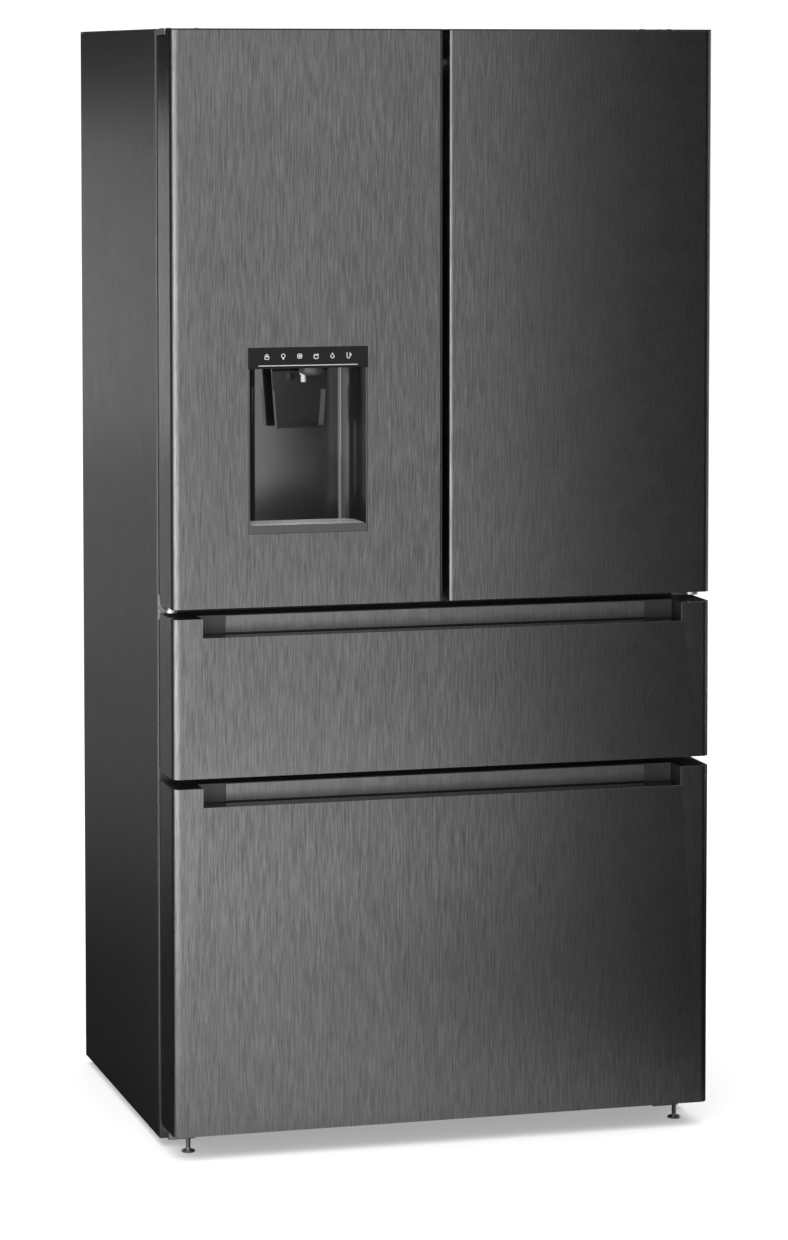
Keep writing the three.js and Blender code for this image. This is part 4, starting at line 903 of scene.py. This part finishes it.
def makeFoot(side):
    # a levelling foot: a domed pad, a hexagonal nut and a threaded stem
    low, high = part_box(f"foot_{side}")
    x, y = (low.x + high.x) / 2, (low.y + high.y) / 2
    pad, stem, pitch = footShape["pad"], footShape["stem"], footShape["pitch"]
    padTop = footShape["padTop"]
    bm = bmesh.new()
    profile = [(0, 0), (pad - 0.0008, 0), (pad, 0.0008), (pad, 0.0026), (pad - 0.0012, 0.0036),
               (stem + 0.002, padTop), (stem, padTop + 0.0006)]
    height = high.z - low.z
    turns = int((height - padTop - 0.002) / pitch)
    for turn in range(turns):
        z = padTop + 0.001 + turn * pitch
        profile += [(stem, z), (stem - footShape["threadDepth"], z + pitch / 2)]
    profile += [(stem - 0.0006, height), (0, height)]
    addSpin(bm, profile, (x, y, low.z), (x, y, low.z + 1), sides=32)
    nutZ = high.z - footShape["nutDrop"]
    addRod(bm, (x, y, nutZ), (x, y, nutZ + footShape["nutHeight"]), footShape["nut"], sides=6,
           bevel=0.0005)
    finishPiece(f"levelling_foot_{side}", bm, f"foot_{side}_body", "zinc_steel", [f"foot_{side}"])


def makeRoller(side):
    # a wheel with a hub, a dished web and a tread
    low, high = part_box(f"rear_roller_{side}")
    y, z = (low.y + high.y) / 2, (low.z + high.z) / 2
    radius = min(high.y - low.y, high.z - low.z) / 2
    half = (high.x - low.x) / 2
    bm = bmesh.new()
    profile = [(0, 0), (0.0028, 0), (0.0028, 0.002), (radius * 0.55, 0.002), (radius * 0.62, 0.0042),
               (radius * 0.8, 0.0042), (radius * 0.86, 0.002), (radius - 0.0015, 0.002), (radius, 0.0036)]
    profile += [(r, 2 * half - h) for r, h in reversed(profile)]
    addSpin(bm, profile, (low.x, y, z), (low.x + 1, y, z), sides=48)
    finishPiece(f"roller_wheel_{side}", bm, f"roller_{side}_body", "black_plastic",
                [f"rear_roller_{side}"])


shelfTrim = {"glass": 0.004, "trimDeep": 0.014, "sideWide": 0.009}


def makeShelves():
    # toughened glass in a white frame with a bright front bar
    for level in ("lower", "middle", "upper"):
        low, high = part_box(f"shelf_{level}")
        top = high.z
        glass = bmesh.new()
        deep, side = shelfTrim["trimDeep"], shelfTrim["sideWide"]
        addBox(glass, (low.x + side * 0.6, low.y + deep * 0.6, top - 0.001 - shelfTrim["glass"]),
               (high.x - side * 0.6, high.y - deep * 0.5, top - 0.001), 0.0008)
        finishPiece(f"shelf_glass_{level}", glass, "cabinet", "shelf_glass", [f"shelf_{level}"])
        trim = bmesh.new()
        addBox(trim, (low.x, low.y, low.z), (high.x, low.y + deep, low.z + 0.002), 0.0006)
        addBox(trim, (low.x, low.y, low.z), (high.x, low.y + 0.003, top), 0.0012, 3)
        addBox(trim, (low.x, high.y - deep, top - 0.0062), (high.x, high.y - 0.001, top), 0.0012, 3)
        for x in ((low.x, low.x + side), (high.x - side, high.x)):
            addBox(trim, (x[0], low.y + 0.002, top - 0.0064), (x[1], high.y - deep + 0.001, top - 0.0002),
                   0.0012, 3)
        finishPiece(f"shelf_frame_{level}", trim, "cabinet", "liner_white")
        bar = bmesh.new()
        addBox(bar, (low.x + 0.002, low.y - 0.0008, low.z + 0.002),
               (high.x - 0.002, low.y + 0.001, top - 0.0015), 0.0006)
        finishPiece(f"shelf_bar_{level}", bar, "cabinet", "strip_steel", finish=finishes["bright_trim"])
    print("shelves made")


rackTrim = {"below": 0.014, "high": 0.011, "endInset": 0.004}


def makeRacks():
    # a bright trim around the top of each door rack
    for node, body in bodyOf.items():
        if "_rack_" not in node:
            continue
        refined(node, f"{node}_moulded", bevel=0.0007)
        low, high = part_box(node)
        bm = bmesh.new()
        lipZ, inset = high.z - rackTrim["below"], rackTrim["endInset"]
        addBox(bm, (low.x + inset, high.y - 0.0042, lipZ),
               (high.x - inset, high.y + 0.0008, lipZ + rackTrim["high"]), 0.0008, 3)
        for x in (low.x + 0.0005, high.x - 0.0045):
            addBox(bm, (x, low.y + 0.02, lipZ + 0.003), (x + 0.004, high.y - 0.003, lipZ + 0.0105), 0.0008)
        finishPiece(f"{node}_trim", bm, body, "strip_steel", finish=finishes["bright_trim"])
    print("door racks made")


crisperTrim = {"gripHalf": 0.03, "sliderHalf": 0.006, "notches": 3, "notchPitch": 0.003}


def makeCrispers():
    # the white front rail of a vegetable drawer, with its grip and humidity slider
    for side in ("left", "right"):
        refined(f"crisper_{side}", f"crisper_{side}_tub", bevel=0.0008)
        low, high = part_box(f"crisper_{side}")
        bm = bmesh.new()
        addBox(bm, (low.x + 0.004, low.y + 0.0022, high.z - 0.019),
               (high.x - 0.004, low.y + 0.0062, high.z - 0.001), 0.0012, 3)
        knob, half = (low.x + high.x) / 2, crisperTrim["gripHalf"]
        addBox(bm, (knob - half, low.y + 0.0008, high.z - 0.014),
               (knob + half, low.y + 0.003, high.z - 0.006), 0.001)
        finishPiece(f"crisper_{side}_trim", bm, "cabinet", "liner_white")
        slider = bmesh.new()
        half, pitch = crisperTrim["sliderHalf"], crisperTrim["notchPitch"]
        addBox(slider, (knob - half, low.y - 0.0006, high.z - 0.0132),
               (knob + half, low.y + 0.0014, high.z - 0.0068), 0.0008)
        for notch in range(crisperTrim["notches"]):
            x = knob - 0.003 + notch * pitch
            addBox(slider, (x - 0.0005, low.y - 0.0012, high.z - 0.0125),
                   (x + 0.0005, low.y - 0.0004, high.z - 0.0075))
        finishPiece(f"crisper_{side}_slider", slider, "cabinet", "nozzle_silver")
    print("crispers made")


fanGuard = {"drop": 0.075, "rings": (0.018, 0.029, 0.040, 0.051), "ringWide": 0.002, "high": 0.0022,
            "spokes": 6, "spokeFrom": 0.010, "spokeTo": 0.052, "hub": 0.011}


def makeLiners():
    refined("fridge_liner", "fridge_cavity", bevel=0.0016, segments=3)
    refined("flex_liner", "flex_cavity", bevel=0.0014, segments=3)
    refined("freezer_liner", "freezer_cavity", bevel=0.0014, segments=3)
    refined("air_duct", "air_duct_cover", bevel=0.0014, segments=3)
    makeFanGuard()
    makeInsideLamps()
    makeIceMaker()
    print("liners made")


def makeFanGuard():
    # rings and spokes in front of the cold air fan
    low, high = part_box("air_duct")
    x, z = (low.x + high.x) / 2, high.z - fanGuard["drop"]
    rise = fanGuard["high"]
    fan = bmesh.new()
    for radius in fanGuard["rings"]:
        inner = radius - fanGuard["ringWide"]
        profile = [(inner, 0), (radius, 0), (radius, rise), (inner, rise), (inner, 0)]
        addSpin(fan, profile, (x, low.y + 0.0004, z), (x, low.y - 1, z), sides=56)
    for turn in range(fanGuard["spokes"]):
        swing = math.tau * turn / fanGuard["spokes"]
        start, stop = ((x + math.cos(swing) * reach, low.y - 0.0008, z + math.sin(swing) * reach)
                       for reach in (fanGuard["spokeFrom"], fanGuard["spokeTo"]))
        addRod(fan, start, stop, 0.0014, sides=8)
    addRod(fan, (x, low.y + 0.0004, z), (x, low.y - 0.0026, z), fanGuard["hub"], sides=32, bevel=0.0008)
    finishPiece("fan_guard", fan, "cabinet", "liner_white")


lampBar = {"half": 0.16, "deep": 0.022, "drop": 0.004, "wall": 0.0025,
           "fromFront": {"fridge_liner": 0.12, "flex_liner": 0.042, "freezer_liner": 0.042}}


def makeInsideLamps():
    # light bars in the ceilings, behind the front edge
    for cavity, fromFront in lampBar["fromFront"].items():
        low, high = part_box(cavity)
        half, drop, ceiling = lampBar["half"], lampBar["drop"], high.z - lampBar["wall"]
        y = (low.y + fromFront, low.y + fromFront + lampBar["deep"])
        bm = bmesh.new()
        addBox(bm, (-half - 0.006, y[0] - 0.005, ceiling - drop * 0.6),
               (half + 0.006, y[1] + 0.005, ceiling + 0.0002), 0.001)
        finishPiece(f"{cavity}_lamp_frame", bm, "cabinet", "liner_white")
        lens = bmesh.new()
        addBox(lens, (-half, y[0], ceiling - drop), (half, y[1], ceiling - 0.001), 0.001, 3)
        finishPiece(f"{cavity}_lamp_lens", lens, "cabinet", "clear_plastic", finish=finishes["lamp_lens"])


def makeIceMaker():
    # the case with its front lid, grip and knob
    refined("ice_maker", "ice_maker_case", bevel=0.003, segments=4)
    low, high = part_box("ice_maker")
    bm = bmesh.new()
    addBox(bm, (low.x + 0.014, low.y - 0.003, low.z + 0.014), (high.x - 0.014, low.y + 0.001, high.z - 0.040),
           0.0014, 3)
    addBox(bm, (low.x + 0.06, low.y - 0.009, low.z + 0.050), (high.x - 0.06, low.y - 0.002, low.z + 0.060),
           0.002, 3)
    knobX, knobZ = high.x - 0.030, high.z - 0.022
    addRod(bm, (knobX, low.y + 0.001, knobZ), (knobX, low.y - 0.004, knobZ), 0.009, sides=40, bevel=0.001)
    finishPiece("ice_maker_front", bm, "cabinet", "liner_white")


def makeMullion():
    refined("mullion_flap", "mullion_cover", bevel=0.0014, segments=3)
    low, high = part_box("mullion_flap")
    bm = bmesh.new()
    for z in (low.z + 0.004, high.z - 0.016):
        addBox(bm, (low.x + 0.006, high.y - 0.001, z), (high.x - 0.004, high.y + 0.0008, z + 0.012), 0.0006)
    addBox(bm, (low.x + 0.010, high.y - 0.0006, low.z + 0.03),
           (high.x - 0.008, high.y + 0.0006, high.z - 0.03), 0.0005)
    finishPiece("mullion_guides", bm, "mullion", "black_plastic")
    print("mullion made")


drawerTrim = {"ribs": 9, "ribInset": 0.05, "holes": 5, "firstHole": 0.06, "holePitch": 0.09}


def makeDrawers():
    for drawer in ("flex", "freezer"):
        refined(f"{drawer}_bin", f"{drawer}_bin_moulded", bevel=0.0009, segments=3)
        refined(f"{drawer}_frame", f"{drawer}_carrier", bevel=0.0008)
        refined(f"{drawer}_rails", f"{drawer}_slide_rails", bevel=0.0006)
        low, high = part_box(f"{drawer}_bin")
        ribs = bmesh.new()
        inset = drawerTrim["ribInset"]
        for rib in range(drawerTrim["ribs"]):  # drainage ribs on the floor
            x = low.x + inset + rib * (high.x - low.x - 2 * inset) / (drawerTrim["ribs"] - 1)
            addBox(ribs, (x - 0.002, low.y + 0.03, low.z + 0.0022),
                   (x + 0.002, high.y - 0.03, low.z + 0.0045), 0.0008)
        finishPiece(f"{drawer}_bin_ribs", ribs, f"{drawer}_drawer", "clear_plastic")
        slides = bmesh.new()
        frameLow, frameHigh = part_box(f"{drawer}_frame")
        for side in (-1, 1):
            x = side * (frameHigh.x - 0.006)
            for hole in range(drawerTrim["holes"]):
                y = frameLow.y + drawerTrim["firstHole"] + hole * drawerTrim["holePitch"]
                addScrew(slides, (x, y, frameHigh.z - 0.0001), (0, 0, 1), 0.0036)
        finishPiece(f"{drawer}_carrier_screws", slides, f"{drawer}_drawer", "zinc_steel")
    refined("freezer_tray", "freezer_tray_moulded", bevel=0.0009, segments=3)
    low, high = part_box("freezer_tray")
    grip = bmesh.new()
    addBox(grip, (-0.09, low.y - 0.004, high.z - 0.020), (0.09, low.y + 0.001, high.z - 0.012), 0.0018, 3)
    for side in (-1, 1):
        edges = sorted((side * high.x, side * (high.x - 0.006)))
        addBox(grip, (edges[0], low.y + 0.01, high.z - 0.004), (edges[1], high.y - 0.01, high.z + 0.0006),
               0.0012)
    finishPiece("freezer_tray_grip", grip, "freezer_tray_body", "clear_plastic")
    print("drawers made")


coil = {"fins": {"evaporator": 60, "condenser": 30}, "finInset": 0.012, "finThick": 0.0006, "tubeRuns": 6,
        "tubeRadius": 0.004, "tubeInset": 0.014, "bend": 0.009}


def makeCoils():
    # tubes run back and forth through a stack of thin plates
    for node, count in coil["fins"].items():
        low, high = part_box(node)
        bm = bmesh.new()
        span = high.x - low.x - 2 * coil["finInset"] - 0.0008
        for fin in range(count):
            x = low.x + coil["finInset"] + fin * span / (count - 1)
            addBox(bm, (x, low.y + 0.001, low.z + 0.001),
                   (x + coil["finThick"], high.y - 0.001, high.z - 0.001))
        finishPiece(f"{node}_fins", bm, "cabinet", "fin_aluminium", [node])
        pipes = bmesh.new()
        runs, radius, inset = coil["tubeRuns"], coil["tubeRadius"], coil["tubeInset"]
        ends = (low.x + radius + 0.001, high.x - radius - 0.001)
        for y in ((low.y * 2 + high.y) / 3, (low.y + high.y * 2) / 3):
            points = []
            for run in range(runs):
                z = low.z + inset + run * (high.z - low.z - 2 * inset) / (runs - 1)
                points += [(x, y, z) for x in (ends if run % 2 == 0 else ends[::-1])]
            addPipe(pipes, points, radius, 4, coil["bend"])
        finishPiece(f"{node}_tubes", pipes, "cabinet", "fin_aluminium", finish=finishes["copper_tube"])
    print("coils made")


pump = {"rubber": 0.014, "feet": 4, "footRadius": 0.011, "footShare": 0.78}


def makeCompressor():
    # a welded shell on rubber feet, with its terminal box
    low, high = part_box("compressor")
    bm = bmesh.new()
    x, y = (low.x + high.x) / 2, (low.y + high.y) / 2
    radius = min(high.x - low.x, high.y - low.y) / 2
    height, rubber = high.z - low.z, pump["rubber"]
    shell = height - rubber
    profile = [(0, rubber), (radius * 0.55, rubber), (radius * 0.84, rubber + 0.01),
               (radius * 0.965, rubber + 0.032), (radius * 0.975, rubber + shell * 0.42),
               (radius, rubber + shell * 0.42), (radius, rubber + shell * 0.45),
               (radius * 0.975, rubber + shell * 0.45), (radius * 0.97, rubber + shell * 0.62),
               (radius * 0.9, rubber + shell * 0.8), (radius * 0.7, rubber + shell * 0.93),
               (radius * 0.4, height - 0.002), (0, height)]
    addSpin(bm, profile, (x, y, low.z), (x, y, low.z + 1), sides=72)
    for turn in range(pump["feet"]):
        swing, reach = math.tau * (turn + 0.5) / pump["feet"], radius * pump["footShare"]
        spot = (x + math.cos(swing) * reach, y + math.sin(swing) * reach)
        addRod(bm, (*spot, low.z), (*spot, low.z + rubber + 0.012), pump["footRadius"], sides=24,
               bevel=0.0015)
    addBox(bm, (x - radius * 0.42, low.y + 0.001, low.z + 0.055),
           (x + radius * 0.1, low.y + 0.03, low.z + 0.11), 0.004, 3)
    finishPiece("compressor_shell", bm, "cabinet", "compressor_paint", ["compressor"])
    print("compressor made")


makeFronts()
makeHandles()
makeDispenser()
makeCabinet()
for side in ("left", "right"):
    makeFoot(side)
    makeRoller(side)
print("feet and rollers made")
makeShelves()
makeRacks()
makeCrispers()
makeLiners()
makeMullion()
makeDrawers()
makeCoils()
makeCompressor()
